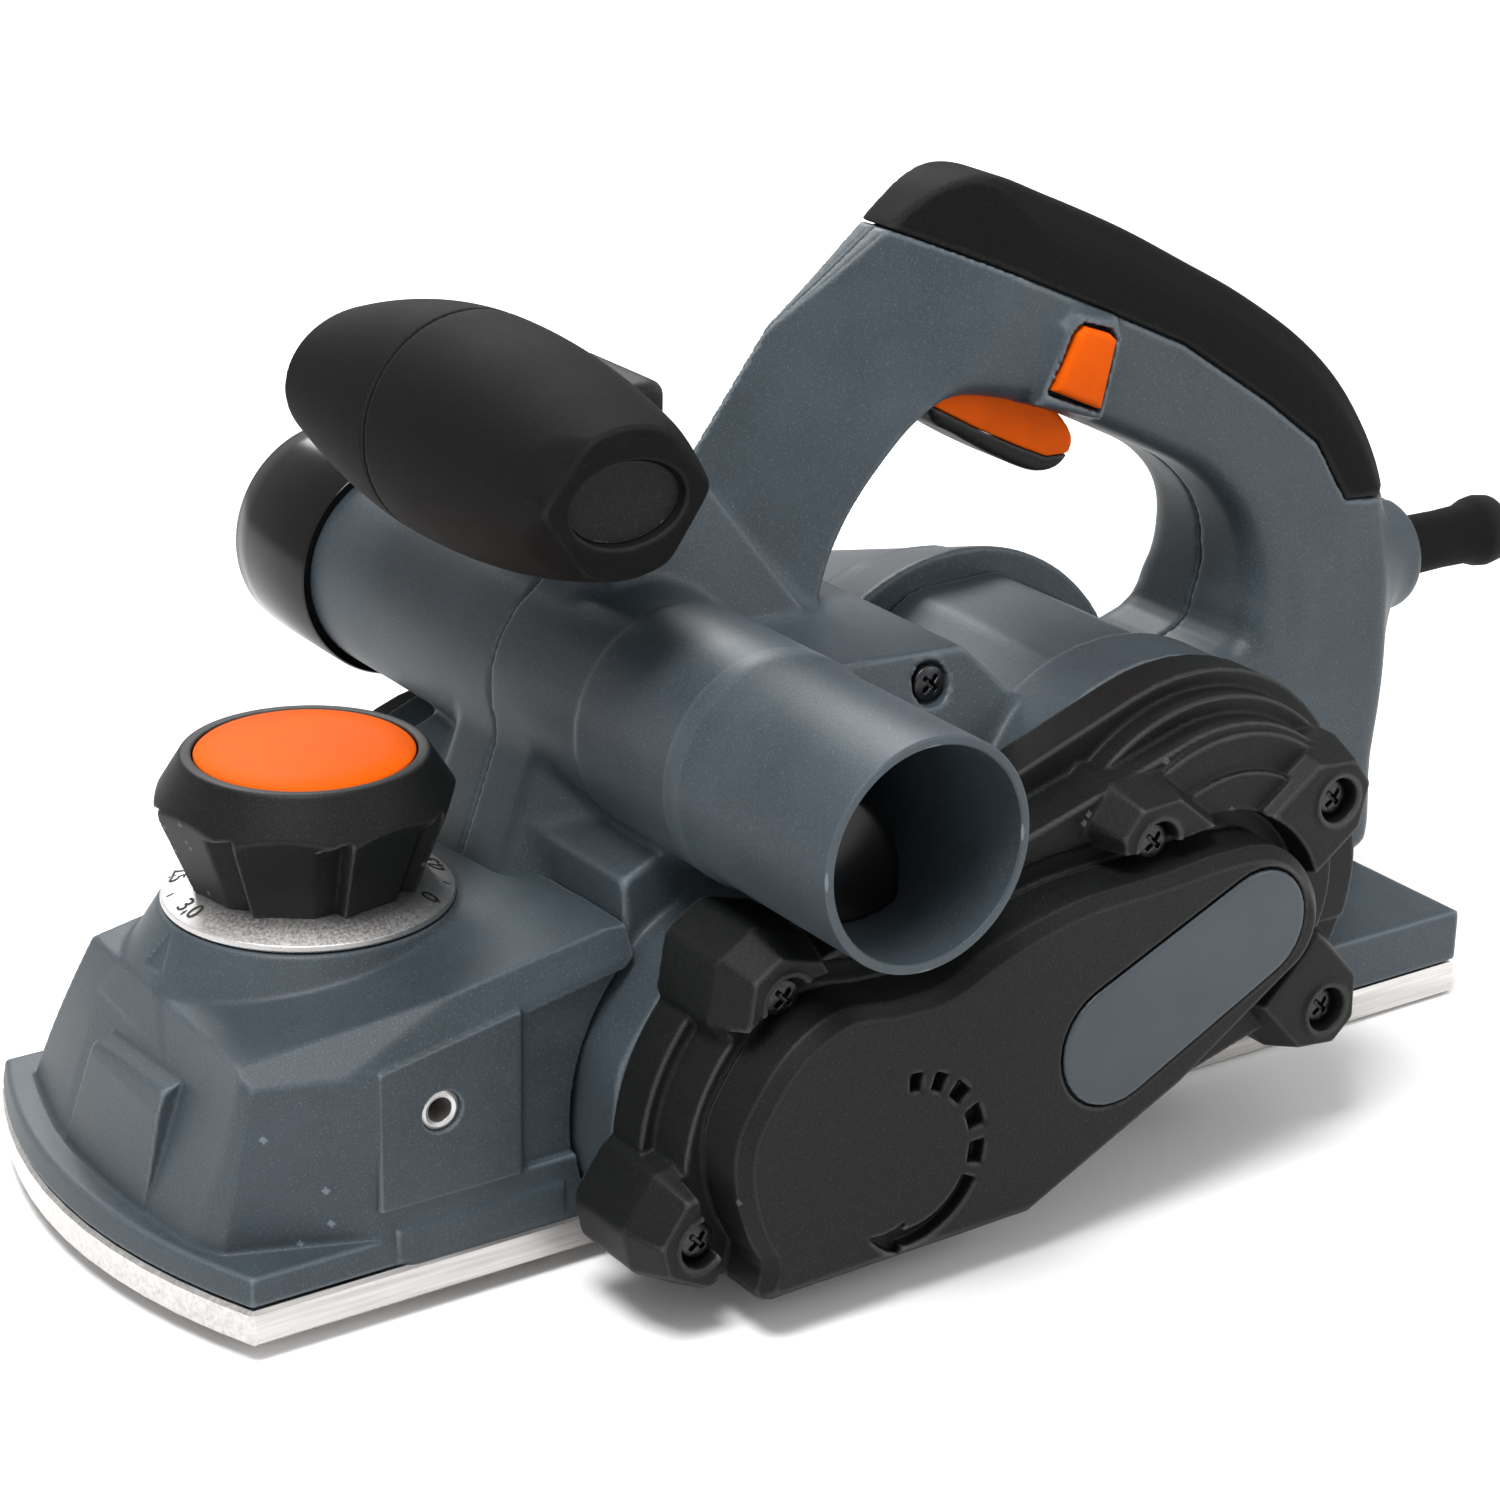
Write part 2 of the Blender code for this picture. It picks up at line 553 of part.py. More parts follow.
def make_belt_side(black, dark, label):
    """Stepped belt housing with its screw lugs, the raised cover and the label plate."""
    wall = BELT_FACE - GAP
    housing = prism_y("belt_housing", belt_outline(FRONT_BOW_R, REAR_BOW_R, FLOOR_Z), STEP_Y, wall, black)
    rim = prism_y("rim", belt_outline(FRONT_BOW_R - 3, REAR_BOW_R - 8, FLOOR_Z), RIM_Y, STEP_Y + 2)
    lugs = [prism_y("lug", lug_outline(x, z), face, wall) for x, z, face in LUGS]
    add(housing, rim, *lugs)
    cut(housing, prism_y("inside", belt_outline(34, 15, FLOOR_Z + 3), COVER_FACE, wall - 3))
    cut(housing, prism_y("cover room", belt_outline(COVER_FRONT_R + GAP, COVER_REAR_R + GAP, FLOOR_Z - 5),
                         COVER_FACE - 5, RIM_Y))
    for x, z in ((DRUM_X, DRUM_Z), (MOTOR_X, MOTOR_Z)):
        cut(housing, rod("shaft hole", 8, (x, 0, z), -90, -60, "Y", 24))
    for number, (x, z, face) in enumerate(LUGS, 1):
        cut(housing, rod("sink", HEAD_RADIUS + 1.0, (x, 0, z), face - 5, face + 5, "Y", 20))
        cut(housing, rod("hole", SHANK_RADIUS + GAP, (x, 0, z), face, face + 20, "Y", 12))
        make_screw("cover_screw_%d" % number, x, z, face + 4.5, dark)

    cover = prism_y("belt_cover", belt_outline(COVER_FRONT_R, COVER_REAR_R, FLOOR_Z + 1),
                    COVER_FACE, RIM_Y - GAP, black)
    cut(cover, prism_y("inside", belt_outline(34, 14.5, FLOOR_Z + 4), COVER_FACE + 3, -80))
    cut(cover, prism_y("label room", stadium(LABEL_ENDS, GAP), COVER_FACE - 1, COVER_FACE + 1.2))
    for i in range(5):
        cut(cover, arrow_slot(math.radians(62 + 26 * i)))
    prism_y("label_plate", stadium(LABEL_ENDS, 0), COVER_FACE + 0.1, COVER_FACE + 0.9, label)


def stadium(ends, grow):
    """Outline round two circles given as (x, z, radius)."""
    (x0, z0, r0), (x1, z1, r1) = ends
    slope = math.atan2(z1 - z0, x1 - x0)
    rear = circle(x1, z1, r1 + grow, 11, slope - math.pi / 2, math.pi)
    return rear + circle(x0, z0, r0 + grow, 11, slope + math.pi / 2, math.pi)


def lug_outline(x, z):
    """Six-sided screw lug that reaches inward to the housing."""
    axis_x, axis_z = (DRUM_X, DRUM_Z) if x < 150 else (MOTOR_X, MOTOR_Z)
    angle = math.atan2(z - axis_z, x - axis_x)
    corners = [(-15, -10), (2, -10), (9, -4), (9, 4), (2, 10), (-15, 10)]
    c, s = math.cos(angle), math.sin(angle)
    return [(x + u * c - v * s, z + u * s + v * c) for u, v in corners]


def arrow_slot(angle):
    """One of the short slots that show which way the drum turns."""
    slot = box("slot", (17, COVER_FACE - 2, -3), (22, COVER_FACE + 6, 3))
    move = Matrix.Translation(Vector((DRUM_X, 0, DRUM_Z)) * MM)
    slot.data.transform(move @ Matrix.Rotation(-angle, 4, "Y"))
    return slot


def make_screw(name, x, z, head_y, mat):
    """Pan-head screw whose head sits at the bottom of its sink."""
    profile = [(0, head_y - 3), (HEAD_RADIUS - 0.6, head_y - 3), (HEAD_RADIUS, head_y - 2),
               (HEAD_RADIUS, head_y), (SHANK_RADIUS, head_y), (SHANK_RADIUS, head_y + 14), (0, head_y + 14)]
    lathe(name, profile, (x, 0, z), "Y", 16, mat)


def make_front_grip(black, dark):
    """Barrel-shaped cross grip, blunter at its far end, with a round cap let into each end."""
    near, far = GRIP_NEAR, GRIP_FAR
    profile = [(0, near + 1.5), (11, near + 1.5), (11, near), (15, near), (18.5, near + 4), (20.5, -40),
               (22, -20), (GRIP_RADIUS, 0), (22, 20), (20.5, far - 4), (17, far), (11, far),
               (11, far - 1.5), (0, far - 1.5)]
    lathe("front_grip", profile, (GRIP_X, 0, GRIP_Z), "Y", 28, black)
    caps = (("grip_cap_left", near + 0.2, near + 1.5 - GAP), ("grip_cap_right", far - 1.5 + GAP, far - 0.2))
    for name, y0, y1 in caps:
        rod(name, 10.6, (GRIP_X, 0, GRIP_Z), y0, y1, "Y", 24, dark)
    collar = [(109, 153), (120.7, 153), (120.7, 165), (109, 165)]
    bevel(prism_y("grip_collar", collar, -15, 15, black), 1.5, 1)


def make_tube_fittings(black):
    """Dust cap, the leaning chip deflector inside the tube, and the cover over the drum's far end."""
    axis = (TUBE_X, 0, TUBE_Z)
    inner = TUBE_RADIUS + GAP
    lathe("dust_cap", [(inner, CAP_START), (25.8, CAP_START), (25.8, CAP_END - 1.5), (24.3, CAP_END),
                       (0, CAP_END), (0, CAP_END - 3), (inner, CAP_END - 3)], axis, "Y", 36, black)
    round_points = circle(TUBE_X, TUBE_Z, TUBE_RADIUS - TUBE_WALL - GAP, 28)
    lean = [[(x, y + 0.7 * (z - TUBE_Z), z) for x, z in round_points] for y in (12, 14.5)]
    loft("chip_deflector", lean, black)
    side = circle(DRUM_X, DRUM_Z, 44, 29, math.asin(-16.2 / 44), math.pi + 2 * math.asin(16.2 / 44))
    cover = prism_y("side_cover", side, -BELT_FACE + GAP, -BELT_FACE + 7, black)
    bevel(cover, 1.5, 1)


def button_outline(grow):
    """Tapered lock button, wider at its front."""
    return [(LOCK_X - 6.5 - grow, LOCK_Z - 5 - grow), (LOCK_X + 4.5 + grow, LOCK_Z - 6 - grow),
            (LOCK_X + 6.5 + grow, LOCK_Z + 2 + grow), (LOCK_X - 4 - grow, LOCK_Z + 5 + grow)]


def make_controls(orange, dark):
    """Trigger with its dark lip, lock button, switch block and the cord's flared guard."""
    blade = [(192.5, 165), (192.5, 149.5), (224, 134), (230, 135.5), (231.5, 142), (212, 152), (203, 162)]
    trigger = prism_y("trigger", blade, -10, 10, orange)
    bevel(trigger, 1.0, 1)
    lip = [(192.5, 149), (192.5, 146.5), (222, 132), (229, 133), (230, 135), (224, 133.6)]
    prism_y("trigger_lip", lip, -10, 10, dark)
    prism_y("lock_button", button_outline(0), -20.0, -13.8, orange)
    box("switch_body", (212, -10.5, 156), (236, 10.5, 166), dark)
    guard = [(4.0, 300), (6.2, 300), (6.2, 340.3), (7.4, 340.3), (7.2, 362), (8.8, 369), (8.8, 372),
             (7.5, 374), (4.0, 374)]
    lathe("cord_guard", guard, (0, 0, CORD_Z), "X", 24, dark)


def make_fixings(grey, brass, dark):
    """Rear deck under the motor, the edge guide's threaded insert and the neck screw."""
    deck = box("rear_deck", (179.5, -SOLE_HALF, SHOE_THICK + GAP), (SOLE_END, SOLE_HALF, DECK_TOP), grey)
    bevel(deck, 1.2, 1)
    cut(deck, rod("trough", BARREL_RADIUS + 0.5, (MOTOR_X, 0, MOTOR_Z), -90, 62, "Y", 40))
    ring("guide_insert", 2.6, 4.0, (42, 0, 42.5), -56.5, -48.5, "Y", 20, brass)
    x, z = HOUSING_SCREW
    make_screw("housing_screw", x, z, -50.3, dark)


# ---------------------------------------------------------------- whole tool

def set_origin(name, point):
    """Put a moving piece's origin on its joint axis without moving the piece."""
    obj = bpy.data.objects[name]
    shift = Vector(point) * MM
    obj.data.transform(Matrix.Translation(-shift))
    obj.location = shift


def place_origins():
    """Put each moving piece's origin on its joint, then move the whole tool to its own origin."""
    drum = (DRUM_X, 0, DRUM_Z)
    motor = (MOTOR_X, 0, MOTOR_Z)
    knob = (KNOB_X, 0, RING_Z)
    axes = {drum: ["cutter_drum", "blade_1", "blade_2", "blade_clamp_1", "blade_clamp_2", "clamp_bolt_1",
                   "clamp_bolt_2", "clamp_bolt_3", "clamp_bolt_4", "drum_pulley"],
            motor: ["armature_shaft", "armature_core", "commutator", "cooling_fan", "motor_pulley"],
            knob: ["depth_knob", "depth_knob_cap", "depth_scale_ring", "depth_screw"],
            (TRIGGER_PIVOT[0], 0, TRIGGER_PIVOT[1]): ["trigger", "trigger_lip"],
            (LOCK_X, -17, LOCK_Z): ["lock_button"],
            (TUBE_X, CAP_START, TUBE_Z): ["dust_cap"],
            (KNOB_X, 0, DEPTH_RANGE): ["front_shoe", "depth_spring"]}
    for point, names in axes.items():
        for name in names:
            set_origin(name, point)
    for obj in bpy.data.objects:
        obj.location.x -= ORIGIN_X * MM


def main():
    for obj in list(bpy.data.objects):
        bpy.data.objects.remove(obj)
    grey = material("grey plastic", GREY, 0.5)
    black = material("black plastic", BLACK, 0.55)
    rubber = material("rubber", (0.015, 0.015, 0.015), 0.8)
    orange = material("orange plastic", ORANGE, 0.35)
    label = material("label", (0.06, 0.08, 0.10), 0.4)
    alu = material("aluminium", (0.55, 0.54, 0.53), 0.35, 1.0)
    steel = material("steel", STEEL, 0.3, 1.0)
    dark = material("dark steel", (0.05, 0.05, 0.05), 0.4, 1.0)
    brass = material("brass", (0.55, 0.4, 0.15), 0.35, 1.0)
    copper = material("copper", (0.5, 0.2, 0.1), 0.4, 1.0)

    make_soles(alu)
    make_nose(grey)
    make_knob(black, orange, alu, steel)
    make_cutter(steel, dark)
    make_motor(steel, dark, copper, brass, black)
    make_housing(grey, rubber)
    make_belt_side(black, dark, label)
    make_front_grip(black, dark)
    make_tube_fittings(black)
    make_controls(orange, dark)
    make_fixings(grey, brass, dark)
    place_origins()


main()
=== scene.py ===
"""Electric hand planer: the visible surfaces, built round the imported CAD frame.

Shapes are signed distance fields on a regular grid, joined with smooth unions and turned into quads by
surface nets.  Lengths are millimetres with X measured from the ends of the nose edge, as in the CAD
source, and each finished mesh is moved to the frame's origin and turned into metres.
"""
import json
import math

import bmesh
import bpy
import numpy as np
from mathutils import Matrix, Vector


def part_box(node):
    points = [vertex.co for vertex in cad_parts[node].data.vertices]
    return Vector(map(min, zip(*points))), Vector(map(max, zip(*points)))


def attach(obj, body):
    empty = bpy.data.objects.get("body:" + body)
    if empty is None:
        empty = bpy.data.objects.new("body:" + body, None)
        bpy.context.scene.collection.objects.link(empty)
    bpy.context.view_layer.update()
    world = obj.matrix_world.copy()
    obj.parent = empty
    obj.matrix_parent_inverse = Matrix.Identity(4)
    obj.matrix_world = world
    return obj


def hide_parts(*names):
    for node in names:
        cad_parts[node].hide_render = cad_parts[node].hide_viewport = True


MM = 0.001
ORIGIN_X = 230.0
ROOT = "planer"

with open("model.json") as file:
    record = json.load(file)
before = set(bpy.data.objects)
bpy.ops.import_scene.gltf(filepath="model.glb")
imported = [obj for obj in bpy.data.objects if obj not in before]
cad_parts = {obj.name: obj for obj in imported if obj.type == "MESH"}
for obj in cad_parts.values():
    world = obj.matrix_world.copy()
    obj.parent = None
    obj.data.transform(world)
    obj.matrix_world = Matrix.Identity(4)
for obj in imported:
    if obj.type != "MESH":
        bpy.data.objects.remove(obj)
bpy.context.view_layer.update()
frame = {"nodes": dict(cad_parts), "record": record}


def corners(node):
    """Lowest and highest corner of a CAD node, in millimetres from the nose."""
    low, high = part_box(node)
    shift = (ORIGIN_X, 0.0, 0.0)
    return [[value / MM + shift[i] for i, value in enumerate(corner)] for corner in (low, high)]


def middle(node):
    low, high = corners(node)
    return [(a + b) / 2 for a, b in zip(low, high)]


DRUM_X, _, DRUM_Z = middle("cutter_drum")
MOTOR_X, _, MOTOR_Z = middle("armature_core")
TUBE_X, _, TUBE_Z = middle("dust_cap")
GRIP_X, _, GRIP_Z = middle("front_grip")
GRIP_NEAR, GRIP_FAR = (corner[1] for corner in corners("front_grip"))
KNOB_X = middle("depth_knob")[0]
RING_Z = corners("depth_scale_ring")[0][2] + 0.9
RING_RADIUS = corners("depth_scale_ring")[1][0] - KNOB_X
CORD_Z = middle("cord_guard")[2]
LOCK_X, _, LOCK_Z = middle("lock_button")
INSERT_X, _, INSERT_Z = middle("guide_insert")
HOUSING_SCREW = (middle("housing_screw")[0], middle("housing_screw")[2])
SOLE_HALF = corners("front_shoe")[1][1]
COVER_FACE = corners("belt_cover")[0][1]
TUBE_NEAR = corners("housing_left")[0][1]

TUBE_FAR = 108.5
TUBE_RADIUS, TUBE_BORE, TUBE_JOIN = 23.6, 21.6, -67.0
BARREL_RADIUS = 44.0
BELT_FACE = -69.0
BOW_RADIUS = 46.0
STEP_Y, RIM_Y = -80.0, -92.0
FLOOR_Z = 9.0
DECK_TOP = 21.0
HANDLE_HALF = 17.5
HOUSING_HALF = 27.0
KNOB_TOP, KNOB_FACETS = 98.4, 8
SHAFT = 4.05                   # hole in the numbered ring
KNOB_DISH, KNOB_WAIST = 22.6, 88.0   # recess for the disc; height where the facets start
TICK, FIGURE = 1.6, 5.6        # length of a dial mark and height of its figures
SLOT_RADIUS, SLOT_DEPTH = 17.0, 3.5  # direction arrow round the drum axis
HEAD_RADIUS, HEAD_SINK = 3.8, 4.5    # screws, and how far their heads sit below the lugs
WALL = 5.5                     # thickness left inside the hollow nose
COARSE, MEDIUM, FINE = 0.85, 0.55, 0.5   # grid pitches
DIAL_TOP, KNOB_TURN = 3.0, 231.0
NOSE_BOW, NOSE_END = 12.5, 86.6
NOSE_FACES = [                 # three points on each sloping face of the nose
    ((9.3, -57, 51.1), (84.0, -57, 64.9), (84.7, -54, 70.3)),
    ((3.3, -46, 55.9), (84.7, -54, 75.2), (40.0, -54, 61.4)),
    ((3.3, -46, 55.9), (-1.3, -41.5, 16.4), (4.9, -50, 52.0)),
    ((11.0, -52, 47.8), (1.0, -45.2, 16.4), (28.0, -57.6, 40.0)),
    ((9.6, 31, 51.5), (2.4, 47, 16.4), (24.2, 31, 55.0))]
SEAM = 0.18                    # half width of the parting line
LUG_FACES = (-97.0, -97.0, -101.0, -99.0, -97.0)
LUGS = [(middle("cover_screw_%d" % i)[0], middle("cover_screw_%d" % i)[2], face)
        for i, face in enumerate(LUG_FACES, 1)]
LABEL_ENDS = ((171.0, 43.5, 13.5), (207.5, 60.5, 12.5))


# ---------------------------------------------------------------- distance fields

class Grid:
    """A box of sample points; X, Y and Z broadcast against each other."""

    def __init__(self, lo, hi, pitch):
        self.lo = np.array(lo, dtype=np.float64)
        self.pitch = pitch
        counts = np.ceil((np.array(hi) - self.lo) / pitch).astype(int) + 1
        axes = [(self.lo[i] + pitch * np.arange(counts[i])).astype(np.float32) for i in range(3)]
        self.X = axes[0][:, None, None]
        self.Y = axes[1][None, :, None]
        self.Z = axes[2][None, None, :]
        self.shape = tuple(counts)


def smin(a, b, k):
    """Union with a fillet about k wide."""
    h = np.maximum(k - np.abs(a - b), 0) / k
    return np.minimum(a, b) - h * h * (k * 0.25)


def smax(a, b, k):
    """Intersection with its edge rounded over about k."""
    return -smin(-a, -b, k)


def carve(a, b, k=0.6):
    """Take b away from a."""
    return smax(a, -b, k)


def outline_distance(u, v, points):
    """Signed distance from points of a plane to a closed outline, negative inside."""
    u, v = np.broadcast_arrays(u, v)
    best = np.full(u.shape, 1e9, dtype=np.float32)
    inside = np.zeros(u.shape, dtype=bool)
    for (x0, y0), (x1, y1) in zip(points, points[1:] + points[:1]):
        dx, dy = x1 - x0, y1 - y0
        t = np.clip(((u - x0) * dx + (v - y0) * dy) / (dx * dx + dy * dy + 1e-9), 0, 1)
        best = np.minimum(best, (u - x0 - t * dx) ** 2 + (v - y0 - t * dy) ** 2)
        if abs(dy) > 1e-9:
            crosses = ((y0 > v) != (y1 > v)) & (u < (v - y0) * dx / dy + x0)
            inside ^= crosses
    return np.where(inside, -np.sqrt(best), np.sqrt(best)).astype(np.float32)


def side_outline(g, points):
    """Distance to an (x, z) outline, the same all across the tool."""
    return outline_distance(g.X[:, 0, :], g.Z[0], points)[:, None, :]


def slab(g, d2, y0, y1, edge=1.0):
    """Extrude a side outline between two widths, with rounded rims."""
    return smax(d2, np.maximum(y0 - g.Y, g.Y - y1), edge)


def sloped(g, d2, half, slope, edge):
    """Extrude a side outline to a half width, with a broad sloping face round each side."""
    side = np.abs(g.Y) - half
    return smax(smax(d2, side, edge), (d2 + side + slope) * 0.7071, edge)


def radial(g, axis, cx, cz, cy=0.0):
    """Distance from an axis line."""
    if axis == "Y":
        return np.hypot(g.X - cx, g.Z - cz)
    if axis == "X":
        return np.hypot(g.Y - cx, g.Z - cz)
    return np.hypot(g.X - cx, g.Y - cy)


def rod_y(g, x, z, radius, y0, y1, edge=0.8):
    return smax(radial(g, "Y", x, z) - radius, np.maximum(y0 - g.Y, g.Y - y1), edge)


def plane(g, point, normal):
    """Half space on the inner side of a plane."""
    n = np.array(normal, dtype=np.float64)
    n /= np.linalg.norm(n)
    return ((g.X - point[0]) * n[0] + (g.Y - point[1]) * n[1] + (g.Z - point[2]) * n[2]).astype(np.float32)


def face_through(g, a, b, c, inner):
    """Half space whose face passes three points, with the inner point inside."""
    a, b, c = (np.array(p, dtype=float) for p in (a, b, c))
    n = np.cross(b - a, c - a)
    if np.dot(np.array(inner) - a, n) > 0:
        n = -n
    return plane(g, a, n)


def solid_of(parts, edge):
    """Intersect half spaces with slightly rounded edges."""
    out = parts[0]
    for part in parts[1:]:
        out = smax(out, part, edge)
    return out


def smooth_outline(points, steps=5):
    """Closed Catmull-Rom curve through the points."""
    out, n = [], len(points)
    for i in range(n):
        p0, p1, p2, p3 = (np.array(points[(i + j - 1) % n], dtype=float) for j in range(4))
        for s in range(steps):
            t = s / steps
            out.append(tuple(0.5 * (2 * p1 + (p2 - p0) * t + (2 * p0 - 5 * p1 + 4 * p2 - p3) * t * t
                                    + (3 * p1 - p0 - 3 * p2 + p3) * t ** 3)))
    return out


# ---------------------------------------------------------------- surface nets

def surface_net(field, grid):
    """Quads on the zero surface: one point in each cell that the surface crosses."""
    f = np.pad(field.astype(np.float32), 1, constant_values=1.0)
    origin = grid.lo - grid.pitch
    neg = f < 0
    n = np.array(f.shape) - 1
    corner = [neg[i:i + n[0], j:j + n[1], k:k + n[2]] for i in (0, 1) for j in (0, 1) for k in (0, 1)]
    total = sum(c.astype(np.int8) for c in corner)
    cells = np.argwhere((total > 0) & (total < 8))
    index = np.full(tuple(n), -1, dtype=np.int32)
    index[tuple(cells.T)] = np.arange(len(cells))
    points = np.zeros((len(cells), 3))
    count = np.zeros((len(cells), 1))
    for axis in range(3):
        step = np.eye(3, dtype=int)[axis]
        others = [i for i in range(3) if i != axis]
        for a in (0, 1):
            for b in (0, 1):
                start = cells.copy()
                start[:, others[0]] += a
                start[:, others[1]] += b
                f0, f1 = f[tuple(start.T)], f[tuple((start + step).T)]
                hit = (f0 < 0) != (f1 < 0)
                t = f0[hit] / (f0[hit] - f1[hit])
                points[hit] += start[hit] + t[:, None] * step
                count[hit] += 1
    points = origin + grid.pitch * points / np.maximum(count, 1)
    faces = []
    for axis in range(3):
        step = np.eye(3, dtype=int)[axis]
        u, v = np.eye(3, dtype=int)[(axis + 1) % 3], np.eye(3, dtype=int)[(axis + 2) % 3]
        lo = neg[tuple(slice(0, s - 1) if i == axis else slice(0, s) for i, s in enumerate(f.shape))]
        hi = neg[tuple(slice(1, s) if i == axis else slice(0, s) for i, s in enumerate(f.shape))]
        for flag, order in (((lo & ~hi), 1), ((~lo & hi), -1)):
            e = np.argwhere(flag)
            if len(e):
                quad = [index[tuple((e - c).T)] for c in (u + v, v, 0 * u, u)]
                faces.append(np.stack(quad[::order], axis=1))
    return points, np.concatenate(faces)


def mesh_object(name, points, faces):
    """A smooth-shaded object from millimetre points measured from the nose."""
    mesh = bpy.data.meshes.new(name)
    points = (points - np.array([ORIGIN_X, 0, 0])) * MM
    mesh.vertices.add(len(points))
    mesh.vertices.foreach_set("co", points.astype(np.float32).ravel())
    mesh.loops.add(faces.size)
    mesh.loops.foreach_set("vertex_index", faces.astype(np.int32).ravel())
    mesh.polygons.add(len(faces))
    mesh.polygons.foreach_set("loop_start", np.arange(0, faces.size, 4, dtype=np.int32))
    mesh.update(calc_edges=True)
    mesh.validate()
    mesh.shade_smooth()
    obj = bpy.data.objects.new(name, mesh)
    bpy.context.collection.objects.link(obj)
    return obj


def finish_piece(obj, mat, slot, body, *nodes):
    """Material, slot (not used), body and the CAD nodes the piece stands for."""
    obj.data.materials.clear()
    obj.data.materials.append(mat)
    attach(obj, body)
    if nodes:
        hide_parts(*nodes)
    return obj


def field_piece(name, field, grid, mat, slot, body, *nodes):
    return finish_piece(mesh_object(name, *surface_net(field, grid)), mat, slot, body, *nodes)


# ---------------------------------------------------------------- materials

def base_material(name):
    mat = bpy.data.materials.new(name)
    mat.use_nodes = True
    return mat, mat.node_tree.nodes, mat.node_tree.links, mat.node_tree.nodes["Principled BSDF"]


def noise(nodes, links, coords, scale, detail=3.0, rough=0.5):
    tex = nodes.new("ShaderNodeTexNoise")
    tex.inputs["Scale"].default_value = scale
    tex.inputs["Detail"].default_value = detail
    tex.inputs["Roughness"].default_value = rough
    links.new(coords, tex.inputs["Vector"])
    return tex.outputs["Fac"]


def ramp(nodes, links, source, stops):
    node = nodes.new("ShaderNodeValToRGB")
    elements = node.color_ramp.elements
    for element, (at, colour) in zip(elements, stops[:2]):
        element.position, element.color = at, (*colour, 1)
    for at, colour in stops[2:]:
        elements.new(at).color = (*colour, 1)
    links.new(source, node.inputs["Fac"])
    return node.outputs["Color"]


def mix(nodes, links, factor, a, b, mode="MIX"):
    node = nodes.new("ShaderNodeMix")
    node.data_type = "RGBA"
    node.blend_type = mode
    for socket, value in ((node.inputs["Factor"], factor), (node.inputs["A"], a), (node.inputs["B"], b)):
        if hasattr(value, "links"):
            links.new(value, socket)
        elif isinstance(value, (int, float)):
            socket.default_value = value
        else:
            socket.default_value = (*value, 1)
    return node.outputs["Result"]


def moulded(name, colour, worn, rough, grain=1.0, wear=0.5, fleck=0.25, shine=0.5):
    """Moulded plastic or rubber: fine pebble grain, cloudy tone, pale worn edges."""
    mat, nodes, links, shader = base_material(name)
    shader.inputs["Specular IOR Level"].default_value = shine
    coords = nodes.new("ShaderNodeTexCoord").outputs["Object"]
    cloud = noise(nodes, links, coords, 28.0, 4.0, 0.6)
    speck = noise(nodes, links, coords, 2600.0, 2.0, 0.7)
    dark = tuple(c * 0.78 for c in colour)
    light = tuple(c * 1.22 for c in colour)
    tone = ramp(nodes, links, cloud, [(0.3, dark), (0.7, light)])
    flecks = ramp(nodes, links, speck, [(0.57, (0, 0, 0)), (0.72, (fleck, fleck, fleck))])
    speckled = mix(nodes, links, flecks, tone, worn)
    edge = nodes.new("ShaderNodeNewGeometry").outputs["Pointiness"]
    worn_edge = ramp(nodes, links, edge, [(0.515, (0, 0, 0)), (0.575, (wear, wear, wear))])
    links.new(mix(nodes, links, worn_edge, speckled, worn), shader.inputs["Base Color"])
    gloss = ramp(nodes, links, cloud, [(0.25, (rough - 0.07,) * 3), (0.75, (rough + 0.07,) * 3)])
    links.new(gloss, shader.inputs["Roughness"])
    bump = nodes.new("ShaderNodeBump")
    bump.inputs["Strength"].default_value = 0.22 * grain
    bump.inputs["Distance"].default_value = 0.0002
    links.new(noise(nodes, links, coords, 1300.0, 3.0, 0.6), bump.inputs["Height"])
    links.new(bump.outputs["Normal"], shader.inputs["Normal"])
    return mat


def metal(name, colour, rough, stretch=(1, 1, 1), streak=0.25, scale=500.0):
    """Metal with fine brushing drawn out along one direction."""
    mat, nodes, links, shader = base_material(name)
    shader.inputs["Metallic"].default_value = 1.0
    mapping = nodes.new("ShaderNodeMapping")
    mapping.inputs["Scale"].default_value = stretch
    links.new(nodes.new("ShaderNodeTexCoord").outputs["Object"], mapping.inputs["Vector"])
    lines = noise(nodes, links, mapping.outputs["Vector"], scale, 4.0, 0.65)
    low = tuple(c * (1 - streak) for c in colour)
    high = tuple(min(1.0, c * (1 + streak)) for c in colour)
    links.new(ramp(nodes, links, lines, [(0.3, low), (0.7, high)]), shader.inputs["Base Color"])
    links.new(ramp(nodes, links, lines, [(0.3, (rough - 0.08,) * 3), (0.7, (rough + 0.1,) * 3)]),
              shader.inputs["Roughness"])
    bump = nodes.new("ShaderNodeBump")
    bump.inputs["Strength"].default_value = 0.12
    bump.inputs["Distance"].default_value = 0.0001
    links.new(lines, bump.inputs["Height"])
    links.new(bump.outputs["Normal"], shader.inputs["Normal"])
    return mat


